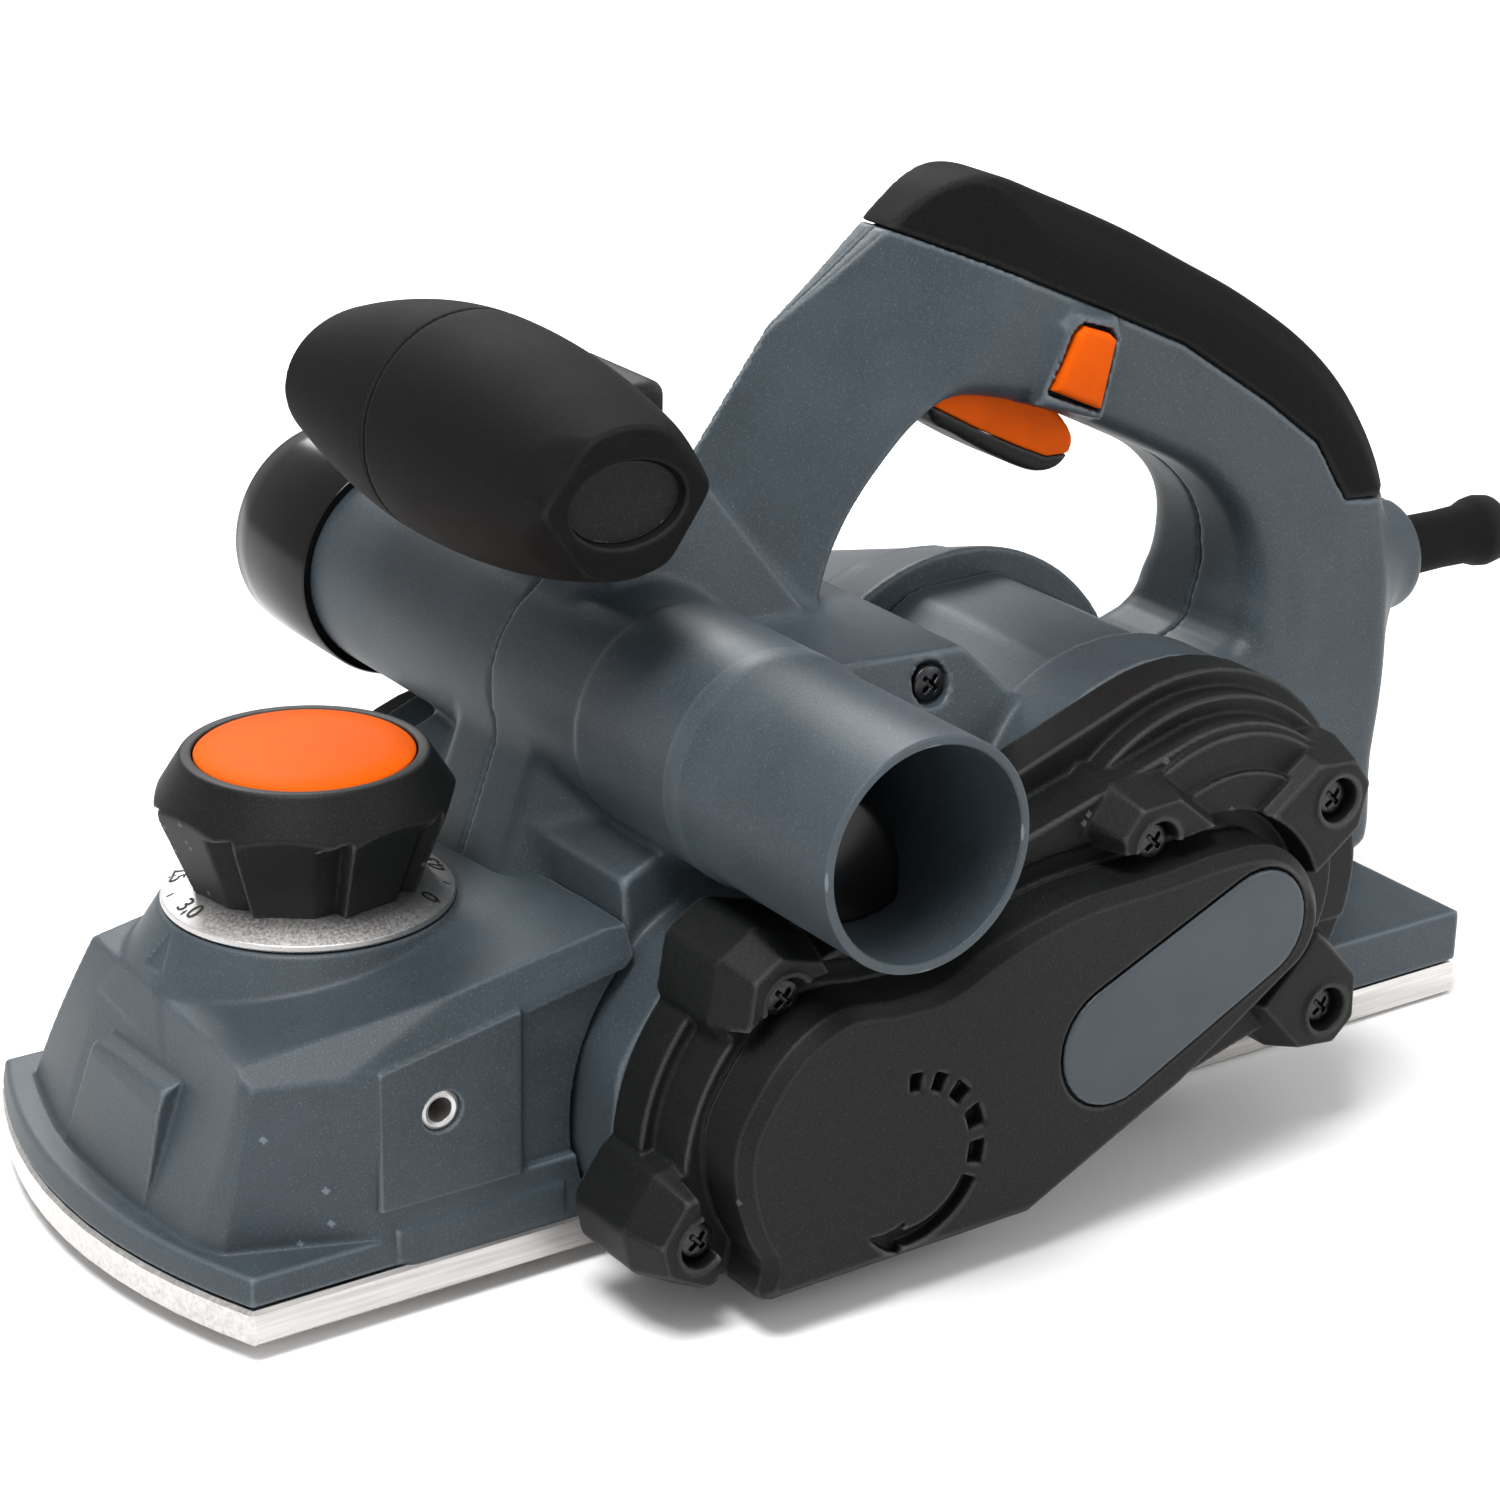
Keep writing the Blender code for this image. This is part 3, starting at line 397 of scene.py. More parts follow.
def make_materials():
    return {
        "grey": moulded("grey_plastic", (0.036, 0.048, 0.058), (0.16, 0.19, 0.21), 0.48,
                        grain=1.0, wear=0.8, fleck=0.40, shine=0.30),
        "black": moulded("black_plastic", (0.0062, 0.0066, 0.0066), (0.09, 0.09, 0.088), 0.50,
                         grain=1.2, wear=0.75, fleck=0.20, shine=0.16),
        "rubber": moulded("soft_rubber", (0.0050, 0.0052, 0.0050), (0.045, 0.045, 0.043), 0.72,
                          grain=1.5, wear=0.6, fleck=0.18, shine=0.08),
        "gloss": moulded("smooth_black", (0.002, 0.002, 0.002), (0.012, 0.012, 0.012), 0.20,
                         grain=0.2, wear=0.2, fleck=0.02, shine=0.3),
        "orange": moulded("orange_plastic", (0.62, 0.082, 0.0008), (0.70, 0.14, 0.008), 0.55,
                          grain=0.4, wear=0.3, fleck=0.06, shine=0.05),
        "label": moulded("label_plate", (0.036, 0.046, 0.056), (0.10, 0.12, 0.14), 0.36,
                         grain=0.3, wear=0.2, fleck=0.10, shine=0.35),
        "sole": metal("brushed_aluminium", (0.62, 0.60, 0.585), 0.34, (0.03, 1, 1), 0.22, 900.0),
        "silver": metal("matt_silver", (0.66, 0.645, 0.635), 0.46, (1, 1, 1), 0.10, 1500.0),
        "steel": metal("ground_steel", (0.50, 0.50, 0.50), 0.28, (1, 0.05, 1), 0.2, 800.0),
        "dark": metal("blackened_steel", (0.055, 0.055, 0.058), 0.38, (1, 1, 1), 0.3, 900.0),
        "iron": metal("laminations", (0.22, 0.20, 0.18), 0.5, (0.05, 1, 0.05), 0.4, 1500.0),
        "brass": metal("turned_brass", (0.62, 0.46, 0.20), 0.32, (1, 1, 1), 0.2, 700.0),
        "figures": moulded("printed_black", (0.012, 0.012, 0.012), (0.03, 0.03, 0.03), 0.6,
                           grain=0.2, wear=0.0, fleck=0.05),
    }


# ---------------------------------------------------------------- grey housing

def handle_outline():
    return smooth_outline([(104, 84), (104, 112), (108, 134), (121, 150), (144, 163.5), (166, 177),
                           (186, 191), (196, 196.5), (207, 197.5), (222, 191.5), (243, 182),
                           (261, 172.5), (280, 162), (299, 149), (313, 135), (323, 118), (326, 100),
                           (325, 75), (322, 48), (320, 22), (290, 22), (258, 40), (200, 60), (150, 66)])


def finger_outline():
    return smooth_outline([(157, 92), (160, 112), (166, 126), (175, 138), (186, 148), (197, 151.5),
                           (216, 147), (233, 140), (251, 131.5), (265, 124), (275, 114), (279, 103),
                           (278, 91), (268, 80), (210, 74), (168, 78)])


def rubber_line():
    """Lower edge of the rubber on the handle, closed well above it."""
    return [(165, 193), (176, 190.5), (186, 187), (203, 180), (230, 168), (256, 156), (282, 139), (298, 127),
            (307, 112), (345, 108), (345, 230), (150, 230)]


def handle_field(g):
    """The closed loop of the handle, broader towards its rear foot."""
    outer, inner = side_outline(g, handle_outline()), -side_outline(g, finger_outline())
    low = np.clip((132.0 - g.Z) / 75.0, 0, 1)
    half = HANDLE_HALF + 8.5 * low * low * (3 - 2 * low)
    body = smax(sloped(g, outer, half, 8.0, 2.4), sloped(g, inner, half, 4.0, 3.0), 1.5)
    front = plane(g, (212, 0, 178), (-0.80, 0, 0.60))
    return smax(body, (np.abs(g.Y) - half + 0.42 * front) * 0.92, 0.8)


def neck_field(g):
    """Faceted neck between the front grip, the dust tube and the handle."""
    centre = (125, 0, 100)
    sides = [plane(g, (0, s * HOUSING_HALF, 96), (0, s * 1.0, 0.28)) for s in (-1, 1)]
    front = plane(g, (89, 0, 92), (-1, 0, 0.36))
    facets = [plane(g, (97, s * 15, 112), (-0.78, s * 0.62, 0.30)) for s in (-1, 1)]
    top = plane(g, (121, 0, 149), (-0.62, 0, 0.78))
    back = plane(g, (170, 0, 88), (0.82, 0, 0.57))
    floor = plane(g, (0, 0, 60), (0, 0, -1))
    body = solid_of([*sides, front, *facets, top, back, floor], 1.2)
    seat = face_through(g, (104, 0, 150), (121, 0, 150), (104, 10, 150), centre)
    return smax(body, seat, 2.0)


def block_field(g):
    """Body between the drum boss, the barrel and the deck."""
    parts = [plane(g, (87, 0, 60), (-1, 0, 0)), plane(g, (0, -57, 30), (0, -1, 0.10)),
             plane(g, (0, 57, 30), (0, 1, 0.34)), plane(g, (95, 0, 82), (-0.42, 0, 0.91)),
             plane(g, (176, 0, 93), (0.28, 0, 0.96)), plane(g, (262, 0, 40), (0.9, 0, 0.43)),
             plane(g, (0, 0, DECK_TOP + 0.4), (0, 0, -1))]
    return solid_of(parts, 1.2)


def barrel_field(g):
    """Motor barrel, stepped down towards its far end."""
    r = radial(g, "Y", MOTOR_X, MOTOR_Z)
    flats = [plane(g, (MOTOR_X + 42.6 * math.cos(a), 0, MOTOR_Z + 42.6 * math.sin(a)),
                   (math.cos(a), 0, math.sin(a))) for a in (math.radians(t) for t in (62, 92, 122))]
    drum = smax(r - BARREL_RADIUS, np.maximum(BELT_FACE - g.Y, g.Y - 22.0), 1.2)
    drum = solid_of([drum, *flats], 0.6)
    slope = smax(r - BARREL_RADIUS + (g.Y - 20.0) * 0.30, np.maximum(-g.Y, g.Y - 60.0), 2.0)
    rib = smax(r - BARREL_RADIUS - 1.3, np.abs(g.Y + 60.0) - 9.0, 1.0)
    return smin(smin(drum, slope, 2.0), rib, 1.0)


def shoulder_field(g):
    """Raised shoulder with the screw boss, between tube and barrel."""
    parts = [plane(g, (150, 0, 113), (0.05, 0, 1)), plane(g, (0, -57, 95), (0, -1, 0.32)),
             plane(g, (0, 40, 95), (0, 1, 0.2)), plane(g, (187, 0, 94), (0.74, 0, 0.67)),
             plane(g, (120, 0, 90), (-1, 0, 0)), plane(g, (0, 0, 78), (0, 0, -1))]
    return solid_of(parts, 0.9)


def housing_field(g):
    tube_r = radial(g, "Y", TUBE_X, TUBE_Z) - TUBE_RADIUS
    tube = smax(tube_r, np.maximum(TUBE_JOIN - g.Y, g.Y - TUBE_FAR), 0.6)
    collar = smax(tube_r - 0.7, np.abs(g.Y + 52.0) - 18.0, 1.0)
    boss = smax(radial(g, "Y", DRUM_X, DRUM_Z) - BOW_RADIUS, np.abs(g.Y) + BELT_FACE, 1.5)
    boss = smax(boss, plane(g, (0, 0, 15.0), (0, 0, -1)), 1.0)
    bevels = [plane(g, (DRUM_X + 45.0 * math.cos(a), 0, DRUM_Z + 45.0 * math.sin(a)),
                    (math.cos(a), 0, math.sin(a))) for a in (math.radians(t) for t in (112, 144, 176))]
    boss = solid_of([boss, *bevels], 1.0)
    out = smin(handle_field(g), neck_field(g), 5.0)
    out = smin(out, smin(block_field(g), boss, 1.5), 2.5)
    out = smin(out, barrel_field(g), 3.0)
    out = smin(out, shoulder_field(g), 2.0)
    out = smin(out, smin(tube, collar, 0.8), 2.5)
    cord = smax(radial(g, "X", 0.0, CORD_Z) - 15.5 + (g.X - 320.0) * 0.10,
                np.maximum(295.0 - g.X, g.X - 340.0), 4.0)
    out = smin(out, cord, 9.0)
    return add_bezel(g, out)


def add_bezel(g, out):
    """Raised rounded frame round the lock button on the belt side."""
    d2 = side_outline(g, lock_outline(3.0))
    rim = smax(smax(d2, -HANDLE_HALF - 2.6 - g.Y, 2.6), g.Y + 6.0, 0.5)
    out = smin(out, rim, 2.0)
    pocket = np.maximum(side_outline(g, lock_outline(0.7)), g.Y + HANDLE_HALF - 3.0)
    return carve(out, pocket, 0.5)


def lock_outline(grow):
    """Tapered button, wider towards its lower front."""
    points = [(-9.5 - grow, -3.8 - grow), (4.0 + grow * 0.6, -9.8 - grow), (7.6 + grow, 5.6),
              (5.8 + grow, 7.4 + grow), (-1.2 - grow * 0.4, 9.8 + grow), (-3.4 - grow, 8.4 + grow * 0.6)]
    return [(LOCK_X + dx, LOCK_Z + dz) for dx, dz in points]


def bore_housing(g, out):
    """Openings seen from outside."""
    out = carve(out, radial(g, "Y", TUBE_X, TUBE_Z) - TUBE_BORE, 0.5)
    out = carve(out, radial(g, "Y", DRUM_X, DRUM_Z) - 33.5, 0.8)
    out = carve(out, radial(g, "X", 0.0, CORD_Z) - 7.6 + np.where(g.X < 325.0, 50.0, 0.0), 0.5)
    x, z = HOUSING_SCREW
    out = carve(out, rod_y(g, x, z, 4.6, -80, -50.4), 0.4)
    lip_room = np.maximum(side_outline(g, [(190, 168), (190, 140), (236, 119), (236, 147), (222, 160)]),
                          np.abs(g.Y) - 10.8)
    out = carve(out, lip_room, 0.6)
    return carve(out, np.maximum(radial(g, "Y", MOTOR_X, MOTOR_Z) - 34.0, np.abs(g.Y + 5.0) - 36.0), 1.0)


def make_housing(mats):
    g = Grid((60, -70, 12), (344, 112, 201), COARSE)
    handle = handle_field(g)
    above = side_outline(g, rubber_line())
    whole = bore_housing(g, housing_field(g))
    whole = carve(whole, np.maximum(above, -(handle + 2.2)), 0.5)
    rubber = solid_of([handle - 0.35, -(handle + 1.9), above + 0.3], 0.9)
    for name, cut in (("housing_left", g.Y + SEAM), ("housing_right", SEAM - g.Y)):
        half = smax(whole, cut + 0 * whole, 0.5)
        field_piece(name + "_shell", half, g, mats["grey"], "housing", ROOT, name)
    field_piece("handle_rubber", rubber, g, mats["rubber"], "rubber", ROOT, "handle_grip")


# ---------------------------------------------------------------- nose

def nose_edge(g, inset):
    """Distance outside the bowed nose plan."""
    bow = inset - NOSE_BOW * (1 - (g.Y / SOLE_HALF) ** 2)
    return np.maximum((bow - g.X) * 0.93, np.maximum(np.abs(g.Y) - SOLE_HALF + inset, g.X - NOSE_END))


def make_nose(mats):
    g = Grid((-16, -61, 9), (89, 61, 70), MEDIUM)
    y = g.Y
    skirt = smax(nose_edge(g, 0.2 + (g.Z - 11.3) * 0.18), np.maximum(11.3 - g.Z, g.Z - 17.2), 0.9)
    rise = (g.Z - 16.4) / 38.0
    low = -5.5 + 4.6 * ((y + 4.0) / 46.0) ** 2 + 3.0 * np.clip((y - 20) / 30, 0, 1)
    high = 4.0 + 0.082 * (y + 46.0)
    front = (low + (high - low) * rise - g.X) * 0.97
    side = -57.6 - y
    far = plane(g, (0, 56.5, 16.4), (0, 1, 0.62))
    facets = [face_through(g, *points, (45, 0, 30)) for points in NOSE_FACES]
    deck = g.Z - (53.6 + 0.17 * g.X - 0.05 * y)
    body = solid_of([front, side, far, deck, *facets, g.X - NOSE_END, 10.0 - g.Z], 0.5)
    ridge = g.Z - (50.4 + 0.185 * (g.X - 9.3))
    panel = solid_of([np.abs(g.X - 44.0) - 16.0, ridge, 24.0 - g.Z, side - 0.7, y + 50.0], 0.5)
    recess = solid_of([61.0 - g.X, ridge + 2.0, 24.5 - g.Z, -y - 62.0, y + 56.0], 0.5)
    proud = np.clip((g.Z - 15.0) / 24.0, 0, 1) * 3.8
    wedge = solid_of([front - proud, plane(g, (0, 12, 30), (0, 1, 0.28)),
                      plane(g, (0, -23, 30), (0, -1, -0.12)), plane(g, (0, -6, 42.5), (-0.35, 0.10, 1)),
                      16.0 - g.Z, g.X - 14.0], 0.4)
    ledge = solid_of([31.5 - g.X, g.X - 70.0, plane(g, (0, -58.2, 19.0), (0, -0.62, 0.78)), 12.0 - g.Z,
                      -58.2 - y, y + 48.0], 0.5)
    r = radial(g, "Z", KNOB_X, 0.0, 0.0)
    cone = solid_of([r - 38.0 + (g.Z - 54.0) * 0.62, g.Z - (RING_Z - 1.2), 47.0 - g.Z, front, far, side], 0.6)
    arrow = np.maximum(outline_distance(g.Y[0], g.Z[0], [(-3.4, 58.2), (3.4, 58.2), (0, 65.0)])[None],
                       g.X - (KNOB_X - 26.0))
    out = smin(smin(skirt, body, 0.9), ledge, 0.5)
    out = smin(smin(out, panel, 0.4), wedge, 0.4)
    out = smin(carve(out, recess, 0.4), cone, 1.0)
    out = carve(out, smax(arrow, -(cone + 0.8), 0.3), 0.3)
    out = carve(out, smax(smax(radial(g, "Y", INSERT_X, INSERT_Z) - 4.3, y + 48.0, 0.3), -62 - y, 0.3), 0.4)
    out = carve(out, radial(g, "Y", DRUM_X, DRUM_Z) - BOW_RADIUS - 0.9, 0.5)
    out = carve(out, r - 4.4, 0.3)
    inner = [face + WALL for face in (front, side, far, *facets)]
    out = carve(out, solid_of([*inner, g.Z - 46.0, g.X - 95.0], 2.0), 1.0)
    field_piece("nose_shell", out, g, mats["grey"], "housing", ROOT, "nose_housing")


# ---------------------------------------------------------------- belt side

def arc(cx, cz, radius, start, sweep, steps=24):
    """Points along an arc, both ends included."""
    turns = [start + sweep * i / steps for i in range(steps + 1)]
    return [(cx + radius * math.cos(turn), cz + radius * math.sin(turn)) for turn in turns]


def belt_outline(front_r, rear_r, floor):
    """Round the drum and motor axes, with a flat bottom edge."""
    slope = math.atan2(MOTOR_Z - DRUM_Z, MOTOR_X - DRUM_X)
    half = math.asin((DRUM_Z - floor) / front_r)
    rear = arc(MOTOR_X, MOTOR_Z, rear_r, slope - math.pi / 2 + 0.15, math.pi - 0.15)
    front = arc(DRUM_X, DRUM_Z, front_r, slope + math.pi / 2 - 0.1, math.pi / 2 + 0.1 - slope + half)
    return rear + front + [(DRUM_X + 35, floor)]


def cover_outline():
    """Raised cover: a bow round the drum, a waist, a rounded rear end and a straight lower edge."""
    bow = smooth_outline([(95.5, 8.5), (86.5, 17.5), (81.2, 30), (80.3, 43), (85, 53), (93, 62), (104, 66.8),
                          (117, 65.6), (128, 66), (139, 70.5), (150, 74), (164, 76.5), (182, 77), (200, 78.2),
                          (213, 76.5), (222, 69), (226, 59), (223, 50), (214, 43.5), (190, 28)], 6)
    return bow[:-11] + [(190, 28), (152, 9.6)]


def lug_outline(x, z, grow):
    """Six-sided screw lug that points away from its axis."""
    axis_x, axis_z = (DRUM_X, DRUM_Z) if x < 150 else (MOTOR_X, MOTOR_Z)
    angle = math.atan2(z - axis_z, x - axis_x)
    points = [(-15, -9 - grow), (1, -9 - grow), (7.4 + grow, -3.5), (7.4 + grow, 3.5), (1, 9 + grow),
              (-15, 9 + grow)]
    c, s = math.cos(angle), math.sin(angle)
    return [(x + u * c - v * s, z + u * s + v * c) for u, v in points]


def make_belt_side(mats):
    g = Grid((56, -103, 5), (258, -67, 112), MEDIUM)
    wall = BELT_FACE - 0.3
    base = slab(g, side_outline(g, belt_outline(BOW_RADIUS, 46.0, FLOOR_Z)), STEP_Y, wall, 0.8)
    rim = slab(g, side_outline(g, belt_outline(BOW_RADIUS - 3, 38.0, FLOOR_Z)), RIM_Y, wall, 0.6)
    motor_r = radial(g, "Y", MOTOR_X, MOTOR_Z)
    upper = plane(g, (MOTOR_X, 0, MOTOR_Z), (0, 0, -1)) - 12.0
    out = smin(base, rim, 0.5)
    for radius, face in ((42.0, -86.0), (36.5, -94.0), (28.5, -95.5)):
        step = solid_of([motor_r - radius, face - g.Y, g.Y - wall, upper], 0.8)
        out = smin(out, step, 0.4)
    for x, z, face in LUGS:
        d2 = side_outline(g, lug_outline(x, z, 1.0))
        taper = d2 - np.clip((g.Y - face) * 0.34, 0, 3.2)
        lug = smax(taper, np.maximum(face - g.Y, g.Y - wall), 0.5)
        out = smin(out, lug, 0.5)
        out = carve(out, rod_y(g, x, z, 4.9, face - 6, face + 5.0), 0.5)
        collar = smax(smax(radial(g, "Y", x, z) - 6.3, 5.0 - radial(g, "Y", x, z), 0.3),
                      np.maximum(face - 0.6 - g.Y, g.Y - face - 2), 0.4)
        out = smin(out, collar, 0.5)
    room = side_outline(g, cover_outline())
    out = carve(out, np.maximum(room - 0.4, g.Y - RIM_Y), 0.5)
    out = carve(out, np.maximum(np.abs(room - 2.2) - 2.4, g.Y - (RIM_Y + 0.8)), 0.5)
    field_piece("belt_housing_shell", out, g, mats["black"], "black_plastic", ROOT, "belt_housing")
    make_cover(mats)


def make_cover(mats):
    g = Grid((76, -107.5, 5), (230, -90, 82), FINE)
    room = side_outline(g, cover_outline())
    face = COVER_FACE - g.Y
    cover = np.maximum(np.maximum(room, g.Y - RIM_Y + 0.2), smax(face, (room + face) * 0.707 + 1.9, 0.2))
    label = side_outline(g, stadium(LABEL_ENDS, 0.5))
    cover = carve(cover, np.maximum(label, g.Y - (COVER_FACE + 1.0)), 0.4)
    radius = radial(g, "Y", DRUM_X, DRUM_Z)
    angle = np.degrees(np.arctan2(g.Z - DRUM_Z, g.X - DRUM_X))
    floor = g.Y - (COVER_FACE + SLOT_DEPTH)
    band = np.abs(radius - SLOT_RADIUS) - 1.9
    for centre, half in ((86, 5.0), (66, 5.0), (45, 6.5), (19, 8.0), (-8, 8.0)):
        slot = np.maximum(band, (np.abs(angle - centre) - half) * 0.30)
        cover = carve(cover, np.maximum(slot, floor), 0.5)
    head = np.where(angle < -92.0, (angle + 122.0) * 0.12, 1.9)
    sweep = np.maximum(np.abs(radius - SLOT_RADIUS) - np.clip(head, 0, 3.6),
                       (np.abs(angle + 74.0) - 48.0) * 0.30)
    cover = carve(cover, np.maximum(sweep, floor), 0.5)
    field_piece("belt_cover_shell", cover, g, mats["black"], "black_plastic", ROOT, "belt_cover")

    g = Grid((154, -108, 26), (224, -102, 78), FINE)
    plate = slab(g, side_outline(g, stadium(LABEL_ENDS, 0.0)), COVER_FACE - 0.3, COVER_FACE + 0.8, 0.4)
    field_piece("blank_label", plate, g, mats["label"], "label", ROOT, "label_plate")


def stadium(ends, grow):
    """Outline round two circles given as (x, z, radius)."""
    (x0, z0, r0), (x1, z1, r1) = ends
    slope = math.atan2(z1 - z0, x1 - x0)
    rear = arc(x1, z1, r1 + grow, slope - math.pi / 2, math.pi, 16)
    return rear + arc(x0, z0, r0 + grow, slope + math.pi / 2, math.pi, 16)


# ---------------------------------------------------------------- knob, grip and small pieces

def make_knob(mats):
    g = Grid((KNOB_X - 35, -35, 69), (KNOB_X + 35, 35, 100), 0.42)
    r = radial(g, "Z", KNOB_X, 0.0, 0.0)
    turns = [2 * math.pi * (i + 0.2) / KNOB_FACETS for i in range(KNOB_FACETS)]
    drop = KNOB_WAIST - g.Z
    faces = [(g.X - KNOB_X) * math.cos(a) + g.Y * math.sin(a) - 29.2 + drop * 0.38 for a in turns]
    body = solid_of([r - 24.8 - (KNOB_TOP - g.Z) * 0.62, r - 30.8, *faces, KNOB_TOP - 28.0 - g.Z,
                     g.Z - (KNOB_TOP - 0.3)], 0.5)
    for a in (turn + math.pi / KNOB_FACETS for turn in turns):
        across = g.Y * math.cos(a) - (g.X - KNOB_X) * math.sin(a)
        outward = (g.X - KNOB_X) * math.cos(a) + g.Y * math.sin(a)
        notch = 27.4 - drop * 0.36 + np.maximum(across * 2.2, -across * 0.30) - outward
        body = carve(body, smax(notch, 0.9 * (-drop - 1.0 - across * 0.25), 0.4), 0.4)
    body = carve(body, smax(r - KNOB_DISH, KNOB_TOP - 3.4 - g.Z, 0.3), 0.5)
    body = carve(body, r - 4.06 + np.where(g.Z > KNOB_WAIST - 2.0, 60.0, 0.0), 0.2)
    field_piece("depth_knob_body_shell", body, g, mats["black"], "black_plastic", "depth_knob_body",
                "depth_knob")
    disc = lathe_piece("knob_disc", [(0, KNOB_TOP - 3.1), (22.2, KNOB_TOP - 3.1), (22.3, KNOB_TOP - 0.7),
                                     (21.6, KNOB_TOP - 0.1), (16, KNOB_TOP + 0.45), (8, KNOB_TOP + 0.8),
                                     (0, KNOB_TOP + 0.9)], (KNOB_X, 0, 0), "Z", 96)
    finish_piece(disc, mats["orange"], "orange_plastic", "depth_knob_body", "depth_knob_cap")
    make_dial(mats)


def make_dial(mats):
    """Numbered ring: the figure at the pointer is the rest setting."""
    ring = lathe_piece("scale_ring", [(SHAFT, RING_Z - 0.9), (RING_RADIUS - 0.3, RING_Z - 0.9),
                                      (RING_RADIUS, RING_Z - 0.5), (RING_RADIUS - 0.2, RING_Z + 0.5),
                                      (23.0, RING_Z + 3.4), (SHAFT, RING_Z + 3.4)],
                       (KNOB_X, 0, 0), "Z", 128)
    finish_piece(ring, mats["silver"], "scale_ring", "depth_knob_body", "depth_scale_ring")
    slope = math.atan2(2.9, 6.8)
    steps = 12
    for i in range(steps + 1):
        turn = math.pi - math.radians(KNOB_TURN) * (1 - i / steps)
        tick = box_piece("dial_tick_%02d" % i, (0.32, TICK, 0.12))
        place_on_dial(tick, turn, RING_RADIUS - 1.2 - TICK / 2, slope)
        finish_piece(tick, mats["figures"], "black_plastic", "depth_knob_body")
        if i % 2 == 0:
            text = "%.1f" % (DIAL_TOP * i / steps) if i else "0"
            figure = text_piece("dial_figure_%02d" % i, text, FIGURE)
            place_on_dial(figure, turn, RING_RADIUS - 3.3, slope)
            finish_piece(figure, mats["figures"], "black_plastic", "depth_knob_body")


def place_on_dial(obj, turn, radius, slope):
    """Lay a flat mark on the ring's sloping face, its top towards the axis."""
    height = RING_Z + 0.55 + (RING_RADIUS - 0.2 - radius) * math.tan(slope)
    tilt = Matrix.Rotation(slope, 4, "X")
    spin = Matrix.Rotation(turn + math.pi / 2, 4, "Z")
    move = Matrix.Translation(Vector((KNOB_X - ORIGIN_X + radius * math.cos(turn), radius * math.sin(turn),
                                      height)) * MM)
    obj.data.transform(move @ spin @ tilt)


def make_grip(mats):
    """Barrel grip with a rimmed oval recess in its near end, and a blunter far end."""
    g = Grid((GRIP_X - 26, GRIP_NEAR - 2, GRIP_Z - 25), (GRIP_X + 25, GRIP_FAR + 2, GRIP_Z + 25), MEDIUM)
    draw = (g.Y / np.where(g.Y < 0, GRIP_NEAR, GRIP_FAR)) ** 2
    u, v = g.X - GRIP_X + 2.5 * draw, g.Z - GRIP_Z - 1.0 * draw
    wide, tall = 24.2 - 5.6 * draw, 24.0 - 9.0 * draw
    barrel = (np.hypot(u / wide, v / tall) - 1) * tall * 0.92
    inward = np.minimum(g.Y - GRIP_NEAR, GRIP_FAR - g.Y)
    facets = [u * math.cos(a) + v * math.sin(a) - 15.2 - (g.Y - GRIP_NEAR) * 0.50
              for a in (math.radians(t) for t in (40, 140, 215, 325))]
    body = solid_of([barrel, -inward, *facets], 0.9)
    body = smin(body, smax((np.hypot(u / 16.4, v / 12.0) - 1) * 12.0, -inward, 1.2), 0.6)
    recess = (np.hypot(u / 13.0, v / 8.4) - 1) * 8.4
    body = carve(body, smax(recess, inward - 2.4, 0.3), 0.8)
    body = carve(body, np.maximum(np.abs(g.Y - 5.0) - 0.4, -barrel - 0.9), 0.4)
    field_piece("front_grip_shell", body, g, mats["rubber"], "rubber", ROOT, "front_grip")
    for name, y0, shift in (("grip_cap_left", GRIP_NEAR + 1.9, 2.5), ("grip_cap_right", GRIP_FAR - 2.9, 2.5)):
        g = Grid((GRIP_X - 18, y0 - 1, GRIP_Z - 10), (GRIP_X + 13, y0 + 2, GRIP_Z + 12), 0.35)
        face = (np.hypot((g.X - GRIP_X + shift) / 12.6, (g.Z - GRIP_Z - 0.4 * shift) / 8.0) - 1) * 8.0
        plate = smax(face, np.maximum(y0 - g.Y, g.Y - y0 - 1.0), 0.3)
        field_piece(name + "_plate", plate, g, mats["black"], "black_plastic", ROOT, name)
    g = Grid((100, -20, 146), (130, 20, 172), 0.7)
    collar = solid_of([110.0 - 3.0 - g.X, g.X - 120.6, np.abs(g.Y) - 15.5, np.abs(g.Z - 159.0) - 8.0], 3.0)
    field_piece("grip_collar_shell", collar, g, mats["black"], "black_plastic", ROOT, "grip_collar")


def lathe_piece(name, profile, centre, axis="Y", count=64):
    """Turn (radius, distance) points about an axis; sharp corners get a small bevel."""
    verts, faces = [], []
    for radius, along in profile:
        for i in range(count):
            a = 2 * math.pi * i / count
            u, v = radius * math.cos(a), radius * math.sin(a)
            verts.append({"Y": (u, along, v), "Z": (u, v, along), "X": (along, u, v)}[axis])
    closed = profile[0][0] > 0 and profile[-1][0] > 0
    rows = len(profile)
    for row in range(rows if closed else rows - 1):
        nxt = (row + 1) % rows
        for i in range(count):
            j = (i + 1) % count
            faces.append((row * count + i, row * count + j, nxt * count + j, nxt * count + i))
    mesh = bpy.data.meshes.new(name)
    mesh.from_pydata([(Vector(v) + Vector(centre) - Vector((ORIGIN_X, 0, 0))) * MM for v in verts], [], faces)
    bm = bmesh.new()
    bm.from_mesh(mesh)
    bmesh.ops.remove_doubles(bm, verts=bm.verts, dist=1e-6)
    bmesh.ops.dissolve_degenerate(bm, edges=bm.edges, dist=1e-7)
    bmesh.ops.recalc_face_normals(bm, faces=bm.faces)
    bm.to_mesh(mesh)
    bm.free()
    obj = bpy.data.objects.new(name, mesh)
    bpy.context.collection.objects.link(obj)
    soften(obj, 0.15, 40)
    return obj


